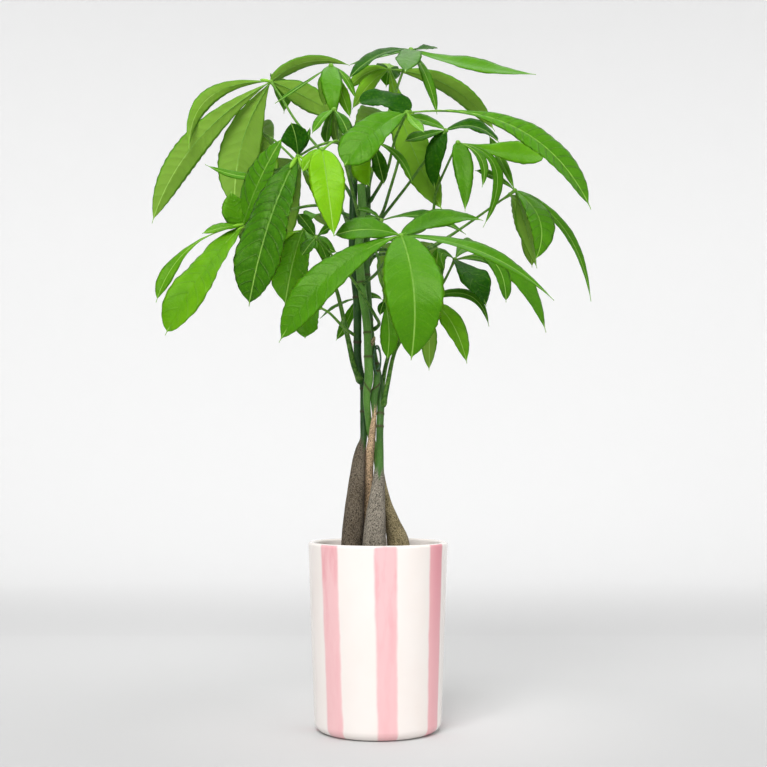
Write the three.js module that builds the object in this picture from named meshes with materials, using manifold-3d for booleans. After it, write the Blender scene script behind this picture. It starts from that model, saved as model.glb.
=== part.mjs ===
import * as THREE from "three";
import { mergeVertices } from "three/addons/utils/BufferGeometryUtils.js";
import Module from "manifold-3d";

// A potted money tree: four slim trunks braided above their swollen feet, palmate leaves on long stalks
// and a round glazed pot. Millimetres, +Z up, origin under the middle of the pot.

// Pot
const POT_HEIGHT = 188;
const POT_TOP_RADIUS = 69.6;
const POT_FOOT_RADIUS = 63.2;
const POT_WALL = 5.5;
const POT_FLOOR = 8;
const POT_CORNER = 10;
const POT_LIP = 2.2;
const POT_SIDES = 36;
const POT_CORNER_START = -67;
const POT_CORNER_STEPS = 3;

// Soil
const SOIL_TOP = 170;
const SOIL_CROWN = 3;
const SOIL_CROWN_SHARE = 0.55;

// Clearance between pieces that touch, such as a trunk in its hole in the soil
const SEAT = 0.3;

// Leaves
const BLADE = 0.9;
const BLADE_FOLD = 0.16;
const BLADE_WAVE = 0.05;
const BLADE_WAVES = 1.5;
const BLADE_LEAST_HALF = 0.8;
const BELLY = 0.6;
const TIP_FALL = 0.85;
const BODY_SHARE = 0.97;
const FOOT_SHARE = 0.09;
const POINT_SHARE = 0.02;
const STALK_FOOT_RADIUS = 1.9;
const STALK_HEAD_RADIUS = 1.3;
const STALK_SIDES = 5;
const STATION_SPACING = 25;
const FEWEST_STATIONS = 4;
const MOST_STATIONS = 7;
const KNUCKLE_RADIUS = 2.6;

// Wire tie: two tall loops hung over the cut end of a trunk, the second taller than the first
const TIE_RADIUS = 1.0;
const TIE_TURNS = 2;
const TIE_TURN_POINTS = 12;
const TIE_START = 0.25;
const TIE_SIDES = 4;
const TIE_STATIONS = 36;
const TIE_REACH = 3.4;
const TIE_RISE = 10;
const TIE_GROWTH = 2.4;
const TIE_LIFT = 10;
const TIE_GAP = 1.6;

// The places of stems and leaves are ordinates on an upright drawing plane through the pot's middle:
// [across, up, depth]. Depth runs away from the viewer, and a piece that is nearer or further than the
// plane is moved along the line of sight of an eye in front of the plant, so its drawn place holds.
const EYE_ACROSS = 5.5;
const EYE_DISTANCE = 1300;
const EYE_HEIGHT = 268;

// Four trunks, each a list of [across, up, depth, radius] from the root upwards.
const TRUNKS = {
  trunk_left: [
    [-26, 128, 0, 8], [-26, 168, -2, 10.6], [-25.8, 188, -3, 10.9], [-24.2, 208, -3, 10.5],
    [-22.6, 229, -3, 9.3], [-21, 249, -3, 8], [-19.4, 267, -2, 6.5], [-17.5, 280, 1, 4.8],
    [-14.5, 291, 6, 3.6], [-14.5, 306, 11, 3.4], [-14.5, 325, 12, 3.4], [-15, 345, 11, 3.4],
    [-20, 370, 6, 3.8], [-20.5, 400, 0, 4], [-21, 430, -2, 4], [-25, 470, 0, 4], [-25, 510, 2, 4],
    [-24, 552, 2, 3.6]],
  trunk_front: [
    [-3, 128, -16, 8], [-4, 168, -16, 11], [-3.8, 188, -15, 11.5], [-2.6, 210, -13, 10],
    [-0.9, 231, -10, 8], [0.6, 250, -7, 6], [1.1, 260, -6, 4.8], [1.8, 275, -5, 3.9], [1.8, 296, -6, 3.6],
    [2.4, 314, -3.4, 3.6], [2.8, 328, 2.6, 3.6], [1, 350, 5.5, 3.6], [-4, 372, 5.5, 3.6], [-7, 392, 3, 3.6],
    [-10, 430, 4, 3.8], [-12, 470, 6, 3.8], [-11, 510, 8, 3.8], [-11, 542, 8, 3.6]],
  trunk_right: [
    [24, 128, 6, 7], [22, 168, 6, 9.8], [20.3, 188, 6, 10.3], [13.8, 208, 6, 7.8], [8, 224, 5, 6.6],
    [4, 240, 5, 5.6], [1.5, 256, 6, 4.6], [-1, 270, 9, 3.7], [-4.5, 284, 11, 3.5], [-8, 297, 8, 3.4],
    [-9.4, 308, 3.5, 3.3], [-10.6, 320, -2, 3.4], [-11.3, 335, -6, 3.8], [-9.2, 352, -9, 4.5],
    [-9.7, 370, -10, 4.2], [-11, 404, -9, 4], [-16, 440, -8, 4.4], [-19, 480, -6, 4.4],
    [-16, 520, -5, 4.4], [-17, 545, -4, 3.8]],
  trunk_cut: [
    [-14, 128, 14, 6], [-12, 168, 13, 6], [-10.5, 210, 11, 4.6], [-9.8, 232, 9, 3.6], [-8.8, 254, 6, 3.7],
    [-8, 275, 2, 3.8], [-6.2, 290, -2, 3.7], [-4.7, 305, -3, 2.9], [-3.8, 315, -4, 2.3],
    [-3.8, 332, -2.5, 3.9], [-1.6, 345, -4.2, 3.5], [-0.8, 360, -5.5, 3.3]],
};
const TRUNK_STEPS = 24;
const TRUNK_SIDES = 8;

// Every leaf: its stalk from the trunk to the knuckle, the way its upper side faces, and its leaflets
// as [middle of the midrib, tip, full width, turn about the midrib in degrees, share of the length where
// it is widest, power of the fall to the tip: a small one gives a blunt tip]. A last number is the foot
// radius of a stalk that isn't as thick as the others.
const LEAVES = {
  leaf_top_left: [
    [[-24, 530, 2], [-52, 572, 26], [-81, 607, 48], [-96, 631, 58], [-107, 648, 62]],
    [0.1, 0.93, 0.35],
    [[[-70, 668, 68], [-28, 664, 76], 15, 40, 0.3], [[-77, 635, 66], [-38, 612, 60], 27, 0],
      [[-183, 586, 44], [-226, 506, 34], 29, 0, 0.6], [[-169, 632, 50], [-189, 580, 20], 17, 0],
      [[-136, 586, 66], [-143, 520, 58], 43, 0, 0.6], [[-96, 650, 104], [-94, 616, 138], 28, 0]]],
  leaf_top_small: [
    [[-24, 540, 2], [-38, 590, 10], [-46, 640, 14], [-47, 664, 14]],
    [0, -0.8, 0.6],
    [[[-78, 643, 2], [-103, 626, -8], 5, 0], [[-46, 637, -8], [-43, 608, -6], 22, 0, 0.32, 1.2],
      [[-33, 652, 6], [-22, 630, 6], 8, 0], [[-36, 636, 14], [-28, 612, 12], 13, 0],
      [[-50, 648, 32], [-54, 622, 46], 20, 0]]],
  leaf_crown: [
    [[-11, 536, 8], [2, 590, 30], [22, 650, 34], [33, 680, 18]],
    [0, -0.55, 0.83],
    [[[0, 674, 6], [-30, 650, 0], 23, 0], [[0, 672, 36], [-28, 665, 44], 18, 0],
      [[46, 681, 22], [59, 682, 28], 15, 0, 0.75, 0.35], [[93, 664, 8], [158, 655, 4], 21, 12, 0.52],
      [[49, 651, -4], [59, 615, -2], 11, 0], [[31, 673, -22], [27, 657, -52], 26, 0]]],
  leaf_top_back: [
    [[-11, 500, 8], [3, 514, 22], [12, 540, 34], [22, 575, 46], [26, 602, 54], [20, 640, 58], [11, 660, 58]],
    [0, 0.85, 0.52],
    [[[-10, 657, 62], [-31, 640, 64], 14, 0], [[-8, 646, 56], [-26, 620, 54], 16, 0],
      [[72, 643, 62], [117, 598, 56], 21, 0], [[32, 588, 40], [65, 518, 24], 36, 0],
      [[11, 664, 92], [8, 642, 124], 28, 0]]],
  leaf_big_right: [
    [[-9, 526, 4], [8, 556, -2], [17, 590, -14], [29, 617, -44]],
    [0.1, -0.8, 0.6],
    [[[6, 630, -38], [-20, 626, -36], 27, 0, 0.42, 0.35], [[-4, 598, -62], [-34, 563, -68], 41, 0, 0.68, 0.5],
      [[141, 600, -66], [213, 520, -58], 34, 0, 0.74], [[36, 607, -62], [46, 597, -80], 12, 0]]],
  leaf_young_right: [
    [[-11, 490, 8], [6, 514, 12], [30, 545, 12], [52, 576, 8], [68, 599, 2]],
    [0, -0.8, 0.6],
    [[[46, 594, -2], [26, 588, -6], 15, 0], [[50, 608, 6], [24, 613, 10], 14, 0],
      [[97, 603, 12], [121, 587, 14], 19, 0, 0.6, 0.5], [[57, 573, 2], [57, 540, 6], 21, 0, 0.45]]],
  leaf_narrow_right: [
    [[-11.5, 480, 7], [4, 488, 20], [24, 494, 27], [46, 500, 28], [55, 518, 24], [58, 538, 20],
      [70, 566, 10], [80, 587, -6]],
    [0, -0.9, 0.45],
    [[[86, 556, -18], [87, 518, -22], 20, 0, 0.36], [[103, 571, -14], [104, 542, -16], 9, 0],
      [[118, 560, -4], [105, 502, -2], 12, 0], [[129, 577, 4], [167, 575, 8], 27, 0, 0.75, 0.4]]],
  leaf_right: [
    [[-11.5, 471, 7], [1, 480, 13], [20, 478, 15], [48, 479, 14], [83, 501, 14], [120, 527, 14],
      [137, 539, 14]],
    [0.3, -0.8, 0.5],
    [[[147, 506, 24], [159, 461, 28], 22, 180], [[162, 508, -8], [157, 469, -12], 28, 0, 0.5],
      [[188, 498, 14], [213, 428, 16], 13, 0, 0.42], [[124, 567, 22], [111, 594, 28], 13, 0],
      [[118, 552, 8], [97, 559, 4], 11, 0], [[152, 516, 50], [158, 480, 80], 22, 0]]],
  leaf_front: [
    [[-16, 444, -8], [0, 458, -34], [14, 480, -66], [23, 494, -78]],
    [0, -0.85, 0.53],
    [[[-11, 500, -82], [-44, 494, -80], 28, 0], [[-44, 457, -98], [-99, 387, -92], 37, 0, 0.66, 0.7],
      [[36, 437, -112], [33, 369, -102], 55, 0, 0.46, 0.75], [[107, 476, -88], [176, 429, -80], 18, -15, 0.5],
      [[64, 511, -66], [105, 509, -58], 21, 0, 0.42]]],
  leaf_grey: [
    [[-15, 496, -4], [-8, 502, -16], [3, 509, -26]],
    [0.2, -0.6, 0.77],
    [[[46, 513, -34], [88, 495, -38], 17, 0], [[-8, 518, -28], [-21, 520, -26], 11, 0],
      [[-6, 512, -38], [-14, 504, -42], 10, 0]]],
  leaf_low_right: [
    [[5, 322, 0], [9.5, 345, -4], [15, 372, -4], [21, 386, 0], [36, 408, 0], [50, 430, -2]],
    [0.3, -0.8, 0.5],
    [[[91, 434, 2], [111, 403, 2], 11, 0, 0.45], [[73, 408, -18], [89, 366, -18], 24, 0],
      [[51, 396, -26], [51, 359, -26], 17, 180], [[57, 458, -2], [60, 483, -2], 18, 0],
      [[30, 428, 34], [8, 398, 54], 22, 0]],
    2.7],
  leaf_far_right: [
    [[3, 331, 3], [5.2, 349, 9], [8.6, 367, 15], [15, 382, 20], [42, 416, 24], [63, 443, 16], [77, 470, 0]],
    [0.3, -0.75, 0.58],
    [[[96, 450, -34], [108, 423, -40], 32, 0, 0.5], [[115, 468, -20], [128, 427, -22], 16, 0, 0.75, 0.5],
      [[134, 457, -6], [168, 397, -4], 21, 0, 0.6], [[64, 476, -14], [66, 461, -22], 13, 0],
      [[95, 482, 34], [120, 458, 62], 24, 0]],
    2.4],
  leaf_hanging: [
    [[-18, 484, -6], [-9, 486, -16], [-1, 475, -20], [3, 456, -22], [7, 429, -24]],
    [0, -0.95, 0.3],
    [[[11, 398, -30], [9, 370, -28], 18, 0], [[4, 423, -26], [2, 414, -28], 8, 0]],
    1.5],
  leaf_small_left: [
    [[-20, 412, 1], [-18, 422, 11], [-22, 431, 20]],
    [0, -0.8, 0.6],
    [[[-40, 424, 36], [-58, 411, 44], 10, 0], [[-30, 410, 28], [-42, 389, 30], 12, 0],
      [[-8, 434, 22], [4, 430, 22], 8, 0]]],
  leaf_young_left: [
    [[-7, 398, 3], [1, 405, -4], [-3, 414, -15], [-12, 429, -18], [-27, 452, -22], [-46, 474, -34],
      [-62, 492, -44]],
    [0, -0.8, 0.6],
    [[[-71, 505, -46], [-80, 516, -44], 15, 0], [[-52, 500, -50], [-44, 504, -54], 11, 0],
      [[-69, 484, -52], [-76, 474, -56], 14, 0], [[-55, 480, -40], [-50, 465, -38], 14, 0]]],
  leaf_low_left: [
    [[-16, 345, 10], [-24, 364, 6], [-28.5, 384, 8], [-33, 404, 14], [-42, 441, 26], [-56, 472, 34],
      [-74, 500, 38]],
    [-0.2, -0.7, 0.68],
    [[[-60, 487, 18], [-41, 477, 14], 18, 0], [[-84, 471, 34], [-93, 424, 30], 50, 0],
      [[-108, 478, 44], [-117, 434, 46], 22, 0], [[-62, 515, 66], [-48, 500, 96], 26, 0]],
    3.2],
  leaf_tiny_left: [
    [[-20, 392, 2], [-34, 402, -8], [-48, 416, -14], [-58, 422, -18]],
    [-0.2, -0.8, 0.55],
    [[[-69, 408, -22], [-73, 391, -24], 26, 0], [[-66, 425, -18], [-74, 419, -18], 10, 0]]],
  leaf_left: [
    [[-24, 512, 4], [-60, 524, 16], [-100, 516, 6], [-135, 504, -14]],
    [-0.3, -0.85, 0.43],
    [[[-118, 550, -30], [-95, 592, -34], 34, 0, 0.48], [[-143, 518, -17], [-147, 538, -20], 27, 0, 0.5],
      [[-154, 502, -26], [-176, 496, -30], 15, 0], [[-190, 480, -18], [-222, 427, -22], 16, 0, 0.8],
      [[-172, 461, -44], [-213, 394, -48], 42, 0, 0.68, 0.5], [[-128, 500, 34], [-122, 470, 60], 26, 0]]],
  leaf_dark_left: [
    [[-23, 545, -2], [-30, 575, -18], [-42, 587, -34], [-62, 583, -50], [-80, 573, -60]],
    [-0.3, -0.85, 0.43],
    [[[-82, 591, -66], [-87, 607, -70], 28, 0], [[-72, 588, -64], [-68, 602, -64], 8, 0],
      [[-122, 553, 2], [-173, 565, 8], 10, 0], [[-109, 506, -84], [-129, 423, -78], 50, 0, 0.62, 0.6]]],
  leaf_lime: [
    [[-19, 512, -6], [-32, 563, -40], [-40, 588, -64], [-56, 580, -84]],
    [0.1, -0.9, 0.42],
    [[[-50, 541, -98], [-44, 493, -98], 33, 0, 0.4], [[-66, 572, -88], [-76, 557, -94], 14, 0]]],
  leaf_centre: [
    [[-17, 540, -4], [-10, 565, -12], [-5, 588, -22]],
    [0, -0.85, 0.5],
    [[[-17, 566, -32], [-8, 543, -34], 20, 0], [[1, 566, -22], [6, 545, -22], 15, 0],
      [[19, 574, -24], [34, 547, -22], 9, 0]]],
  leaf_inner_left: [
    [[-24, 548, 0], [-34, 586, -14], [-44, 620, -22]],
    [-0.2, -0.7, 0.68],
    [[[-55, 612, -30], [-66, 596, -34], 13, 0], [[-50, 604, -20], [-51, 584, -16], 15, 0],
      [[-34, 606, -36], [-28, 588, -40], 13, 0], [[-44, 604, -8], [-40, 584, 0], 14, 0]]],
  leaf_back_left: [
    [[-24, 480, 4], [-36, 520, 44], [-56, 554, 84], [-76, 566, 104]],
    [-0.2, 0.6, 0.77],
    [[[-98, 530, 116], [-116, 484, 118], 32, 0], [[-92, 522, 128], [-104, 470, 124], 34, 0],
      [[-56, 540, 116], [-46, 500, 112], 28, 0], [[-96, 560, 150], [-104, 520, 190], 34, 0],
      [[-62, 560, 154], [-54, 518, 200], 30, 0]]],
  leaf_back_right: [
    [[-22, 492, 4], [-14, 494, 36], [10, 490, 84], [27, 484, 100]],
    [0.2, 0.6, 0.77],
    [[[34, 450, 118], [36, 396, 116], 38, 0], [[46, 462, 112], [56, 420, 112], 28, 0],
      [[16, 474, 146], [4, 438, 190], 34, 0], [[44, 478, 150], [52, 446, 200], 36, 0]]],
  leaf_back_top: [
    [[-16, 530, 6], [-8, 570, 48], [2, 604, 90], [6, 616, 100]],
    [0, 0.6, 0.8],
    [[[-14, 596, 112], [-20, 564, 116], 28, 0], [[26, 598, 110], [32, 570, 114], 26, 0],
      [[-6, 610, 152], [-12, 566, 204], 38, 0], [[22, 610, 146], [32, 576, 190], 34, 0]]],
  leaf_back_far_left: [
    [[-25, 505, 4], [-60, 545, 50], [-100, 586, 84], [-122, 600, 96]],
    [-0.3, 0.55, 0.78],
    [[[-134, 570, 104], [-136, 528, 102], 30, 0], [[-112, 572, 86], [-107, 540, 82], 24, 0],
      [[-132, 594, 134], [-134, 558, 172], 32, 0], [[-114, 596, 142], [-110, 556, 190], 32, 0]]],
  leaf_back_far_right: [
    [[-12, 461, 6], [-2, 474, 18], [20, 476, 38], [48, 481, 54], [83, 501, 72], [120, 527, 84],
      [132, 535, 88]],
    [0.3, 0.55, 0.78],
    [[[148, 500, 98], [154, 462, 98], 24, 0], [[148, 520, 124], [156, 490, 158], 24, 0],
      [[146, 518, 132], [149, 480, 180], 30, 0]]],
};

const FINISHES = {
  glaze: { color: "#fdf6ea", roughness: 0.22, metalness: 0 },
  soil: { color: "#4a3626", roughness: 0.95, metalness: 0 },
  bark: { color: "#84735a", roughness: 0.8, metalness: 0 },
  leaf: { color: "#3f8a1c", roughness: 0.38, metalness: 0 },
  tie: { color: "#1f5a2a", roughness: 0.5, metalness: 0 },
};

const wasm = await Module();
wasm.setup();

function place([across, up, depth]) {
  const spread = (EYE_DISTANCE + depth) / EYE_DISTANCE;
  const x = EYE_ACROSS + (across - EYE_ACROSS) * spread;
  const z = EYE_HEIGHT + (up - EYE_HEIGHT) * spread;
  return new THREE.Vector3(x, depth, z);
}

function asSolid(geometry) {
  const plain = geometry.index ? geometry.clone() : geometry;
  for (const name of Object.keys(plain.attributes)) {
    if (name !== "position") plain.deleteAttribute(name);
  }
  const merged = mergeVertices(plain, 1e-4);
  return new wasm.Manifold(new wasm.Mesh({
    numProp: 3,
    vertProperties: new Float32Array(merged.attributes.position.array),
    triVerts: new Uint32Array(merged.index.array),
  }));
}

function largestBody(solid) {
  const bodies = solid.decompose();
  return bodies.reduce((best, body) => (body.volume() > best.volume() ? body : best));
}

function asMesh(name, solid, finish) {
  const { vertProperties, triVerts } = solid.getMesh();
  const geometry = new THREE.BufferGeometry();
  geometry.setAttribute("position", new THREE.BufferAttribute(new Float32Array(vertProperties), 3));
  geometry.setIndex(new THREE.BufferAttribute(new Uint32Array(triVerts), 1));
  geometry.computeVertexNormals();
  const mesh = new THREE.Mesh(geometry, new THREE.MeshStandardMaterial(FINISHES[finish]));
  mesh.name = name;
  return mesh;
}

// A closed skin over a row of loops that have the same number of points. Each end is closed by a fan
// from the loop's point number fan. The loops run anticlockwise seen from the row's far end.
function skin(loops, fan = 0) {
  const count = loops[0].length;
  const last = (loops.length - 1) * count;
  const index = [];
  for (let i = 0; i + 1 < loops.length; i += 1) {
    for (let j = 0; j < count; j += 1) {
      const a = i * count + j;
      const b = i * count + ((j + 1) % count);
      index.push(a, b, b + count, a, b + count, a + count);
    }
  }
  for (let j = 1; j + 1 < count; j += 1) {
    const b = (fan + j) % count;
    const c = (fan + j + 1) % count;
    index.push(fan, c, b, last + fan, last + b, last + c);
  }
  const geometry = new THREE.BufferGeometry().setFromPoints(loops.flat());
  geometry.setIndex(index);
  return geometry;
}

// A tapering round stem through hand-set points, its radius eased from point to point.
function stem(points, radii, sides, steps, extra = 0) {
  const path = new THREE.CatmullRomCurve3(points, false, "catmullrom", 0.5);
  const frames = path.computeFrenetFrames(steps, false);
  const loops = [];
  for (let i = 0; i <= steps; i += 1) {
    const t = path.getUtoTmapping(i / steps) * (radii.length - 1);
    const before = Math.min(Math.floor(t), radii.length - 2);
    const radius = THREE.MathUtils.lerp(radii[before], radii[before + 1], t - before) + extra;
    const centre = path.getPointAt(i / steps);
    loops.push(Array.from({ length: sides }, (_, j) => {
      const angle = (2 * Math.PI * j) / sides;
      return centre.clone()
        .addScaledVector(frames.normals[i], radius * Math.cos(angle))
        .addScaledVector(frames.binormals[i], radius * Math.sin(angle));
    }));
  }
  return asSolid(skin(loops));
}

function trunk(rows, extra) {
  const points = rows.map(place);
  const radii = rows.map((row) => row[3]);
  return stem(points, radii, TRUNK_SIDES, TRUNK_STEPS, extra);
}

// Half width of a leaflet at share u of its length: a narrow foot, widest at belly, a fall to the tip.
function outline(u, belly, fall) {
  const body = Math.min(u / BODY_SHARE, 1);
  const rise = (fall * belly) / (1 - belly);
  const peak = belly ** rise * (1 - belly) ** fall;
  return Math.max((body ** rise * (1 - body) ** fall) / peak, FOOT_SHARE * (1 - u) + POINT_SHARE);
}

// One leaflet: a thin blade along a quadratic midrib through the knuckle, its middle and its tip, folded
// up a little from the midrib, with a slow wave along both edges.
function leaflet(knuckle, [middlePlace, tipPlace, width, turn, belly = BELLY, fall = TIP_FALL], face) {
  const middle = place(middlePlace);
  const tip = place(tipPlace);
  const pull = middle.clone().multiplyScalar(2).sub(knuckle.clone().add(tip).multiplyScalar(0.5));
  const midrib = new THREE.QuadraticBezierCurve3(knuckle, pull, tip);
  const length = midrib.getLength();
  const wanted = 2 + Math.round(length / STATION_SPACING);
  const stations = THREE.MathUtils.clamp(wanted, FEWEST_STATIONS, MOST_STATIONS);
  const start = pull.clone().sub(knuckle).normalize();
  const flank = start.clone().cross(face).normalize();
  const bend = start.clone().cross(tip.clone().sub(pull)).normalize();
  const level = flank.clone().cross(start);
  const lean = Math.atan2(level.dot(bend), level.dot(bend.clone().cross(start)));
  const tilt = lean + THREE.MathUtils.degToRad(turn);
  const loops = [];
  for (let i = 0; i < stations; i += 1) {
    const u = i / (stations - 1);
    const along = midrib.getTangent(u);
    const inward = bend.clone().cross(along);
    const up = inward.multiplyScalar(Math.cos(tilt)).addScaledVector(bend, Math.sin(tilt));
    const side = along.clone().cross(up);
    const share = outline(u, belly, fall);
    const half = Math.max(0.5 * width * share, BLADE_LEAST_HALF);
    const wave = BLADE_WAVE * width * Math.sin(2 * Math.PI * BLADE_WAVES * u) * share;
    const centre = midrib.getPoint(u);
    const rows = [[-1, 1], [0, 1], [1, 1], [1, -1], [0, -1], [-1, -1]];
    loops.push(rows.map(([across, above]) => centre.clone()
      .addScaledVector(side, half * across)
      .addScaledVector(up, Math.abs(across) * (BLADE_FOLD * half + wave * across) + 0.5 * BLADE * above)));
  }
  return asSolid(skin(loops, 1));
}

function leaf([stalk, facing, leaflets, footRadius = STALK_FOOT_RADIUS]) {
  const points = stalk.map(place);
  const knuckle = points.at(-1);
  const face = new THREE.Vector3(...facing).normalize();
  const taper = points.map((_, i) => THREE.MathUtils.lerp(
    footRadius, STALK_HEAD_RADIUS, i / (points.length - 1)));
  const ball = new THREE.IcosahedronGeometry(KNUCKLE_RADIUS, 0).translate(knuckle.x, knuckle.y, knuckle.z);
  const woody = stem(points, taper, STALK_SIDES, points.length + 1).add(asSolid(ball));
  return leaflets.reduce((whole, row) => whole.add(leaflet(knuckle, row, face)), woody);
}

function lathe(profile, sides) {
  const points = profile.map(([radius, height]) => new THREE.Vector2(radius, height));
  return asSolid(new THREE.LatheGeometry(points, sides).rotateX(Math.PI / 2));
}

function arc(centreRadius, centreHeight, radius, from, to) {
  return Array.from({ length: POT_CORNER_STEPS + 1 }, (_, i) => {
    const angle = THREE.MathUtils.degToRad(THREE.MathUtils.lerp(from, to, i / POT_CORNER_STEPS));
    return [centreRadius + radius * Math.cos(angle), centreHeight + radius * Math.sin(angle)];
  });
}

// Inner wall radius of the pot at a height, for the cavity and the soil in it.
function innerRadius(height) {
  const share = height / POT_HEIGHT;
  return THREE.MathUtils.lerp(POT_FOOT_RADIUS, POT_TOP_RADIUS, share) - POT_WALL;
}

function pot() {
  return lathe([
    [0, 0],
    [POT_FOOT_RADIUS - POT_CORNER, 0],
    ...arc(POT_FOOT_RADIUS - POT_CORNER, POT_CORNER, POT_CORNER, POT_CORNER_START, 0),
    ...arc(POT_TOP_RADIUS - POT_LIP, POT_HEIGHT - POT_LIP, POT_LIP, 0, 90),
    ...arc(innerRadius(POT_HEIGHT) + POT_LIP, POT_HEIGHT - POT_LIP, POT_LIP, 90, 180),
    [innerRadius(POT_FLOOR + POT_CORNER), POT_FLOOR + POT_CORNER],
    [innerRadius(POT_FLOOR) - POT_CORNER, POT_FLOOR],
    [0, POT_FLOOR],
  ], POT_SIDES);
}

function soil(holes) {
  const low = POT_FLOOR + SEAT;
  const corner = POT_FLOOR + POT_CORNER;
  const heap = lathe([
    [0, low],
    [innerRadius(POT_FLOOR) - POT_CORNER - SEAT, low],
    [innerRadius(corner) - 2 * SEAT, corner],
    [innerRadius(SOIL_TOP) - 2 * SEAT, SOIL_TOP],
    [SOIL_CROWN_SHARE * innerRadius(SOIL_TOP), SOIL_TOP + SOIL_CROWN],
    [0, SOIL_TOP + SOIL_CROWN],
  ], POT_SIDES);
  return holes.reduce((rest, hole) => rest.subtract(hole), heap);
}

// A wire in tall loops that pass in front of the cut end, over it and behind it.
function tie(core) {
  const [across, up, depth, radius] = TRUNKS.trunk_cut.at(-1);
  const end = place([across, up, depth]);
  const count = TIE_TURNS * TIE_TURN_POINTS;
  const points = Array.from({ length: count + 1 }, (_, i) => {
    const turn = (TIE_TURNS * i) / count;
    const angle = 2 * Math.PI * (turn - TIE_START);
    const rise = TIE_RISE + TIE_GROWTH * turn;
    return new THREE.Vector3(
      end.x + TIE_REACH * Math.cos(angle),
      end.y - (radius + TIE_GAP) * Math.cos(Math.PI * turn),
      end.z + TIE_LIFT + rise * Math.sin(angle));
  });
  const radii = points.map(() => TIE_RADIUS);
  return stem(points, radii, TIE_SIDES, TIE_STATIONS).subtract(core);
}

const names = Object.keys(TRUNKS);
const grown = names.map((name) => trunk(TRUNKS[name], SEAT));
const group = new THREE.Group();
group.add(asMesh("pot", pot(), "glaze"));
group.add(asMesh("soil", soil(grown), "soil"));
names.forEach((name, i) => {
  const free = grown.slice(0, i).reduce((rest, other) => rest.subtract(other), trunk(TRUNKS[name], 0));
  group.add(asMesh(name, largestBody(free), "bark"));
});
group.add(asMesh("wire_tie", largestBody(tie(grown.at(-1))), "tie"));
for (const [name, rows] of Object.entries(LEAVES)) {
  const free = grown.reduce((rest, other) => rest.subtract(other), leaf(rows));
  group.add(asMesh(name, largestBody(free), "leaf"));
}

export default group;
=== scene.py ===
"""A potted money tree: braided slim trunks, palmate leaves on long stalks and a striped glazed pot.

Every piece is a surface worked out as whole arrays and put where the fixed frame has its node.
"""
import functools
import math

import bpy
import numpy as np
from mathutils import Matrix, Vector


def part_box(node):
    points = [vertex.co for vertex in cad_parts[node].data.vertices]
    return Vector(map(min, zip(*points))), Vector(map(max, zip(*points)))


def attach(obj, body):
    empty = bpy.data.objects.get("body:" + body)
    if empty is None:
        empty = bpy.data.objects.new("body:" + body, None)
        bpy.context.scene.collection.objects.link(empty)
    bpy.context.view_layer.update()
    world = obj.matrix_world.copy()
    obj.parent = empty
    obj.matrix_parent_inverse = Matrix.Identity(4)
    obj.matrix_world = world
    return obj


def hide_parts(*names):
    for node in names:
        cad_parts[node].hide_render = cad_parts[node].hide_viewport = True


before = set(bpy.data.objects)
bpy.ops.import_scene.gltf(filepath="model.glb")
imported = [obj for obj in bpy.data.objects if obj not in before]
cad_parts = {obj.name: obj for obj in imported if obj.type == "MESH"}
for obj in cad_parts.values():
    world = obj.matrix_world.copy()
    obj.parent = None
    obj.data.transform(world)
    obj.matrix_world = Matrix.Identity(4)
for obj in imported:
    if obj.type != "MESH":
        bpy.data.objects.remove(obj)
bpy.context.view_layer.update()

bl_info = {
    "name": "Potted money tree",
    "version": (1, 0, 0),
    "blender": (4, 5, 0),
    "location": "3D View > Sidebar > Plant",
    "description": "Builds a money tree with braided trunks in a striped glazed pot",
    "category": "Add Mesh",
}

MM = 0.001
BODY = "root"

# The eye in front of the plant that the ordinates below are drawn for, in millimetres
EYE_ACROSS = 5.5
EYE_DISTANCE = 1300.0
EYE_HEIGHT = 268.0
SENSOR = 36.0
DRAWN_WIDTH = 767.0
DRAWN_RISE = 78.0

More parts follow.
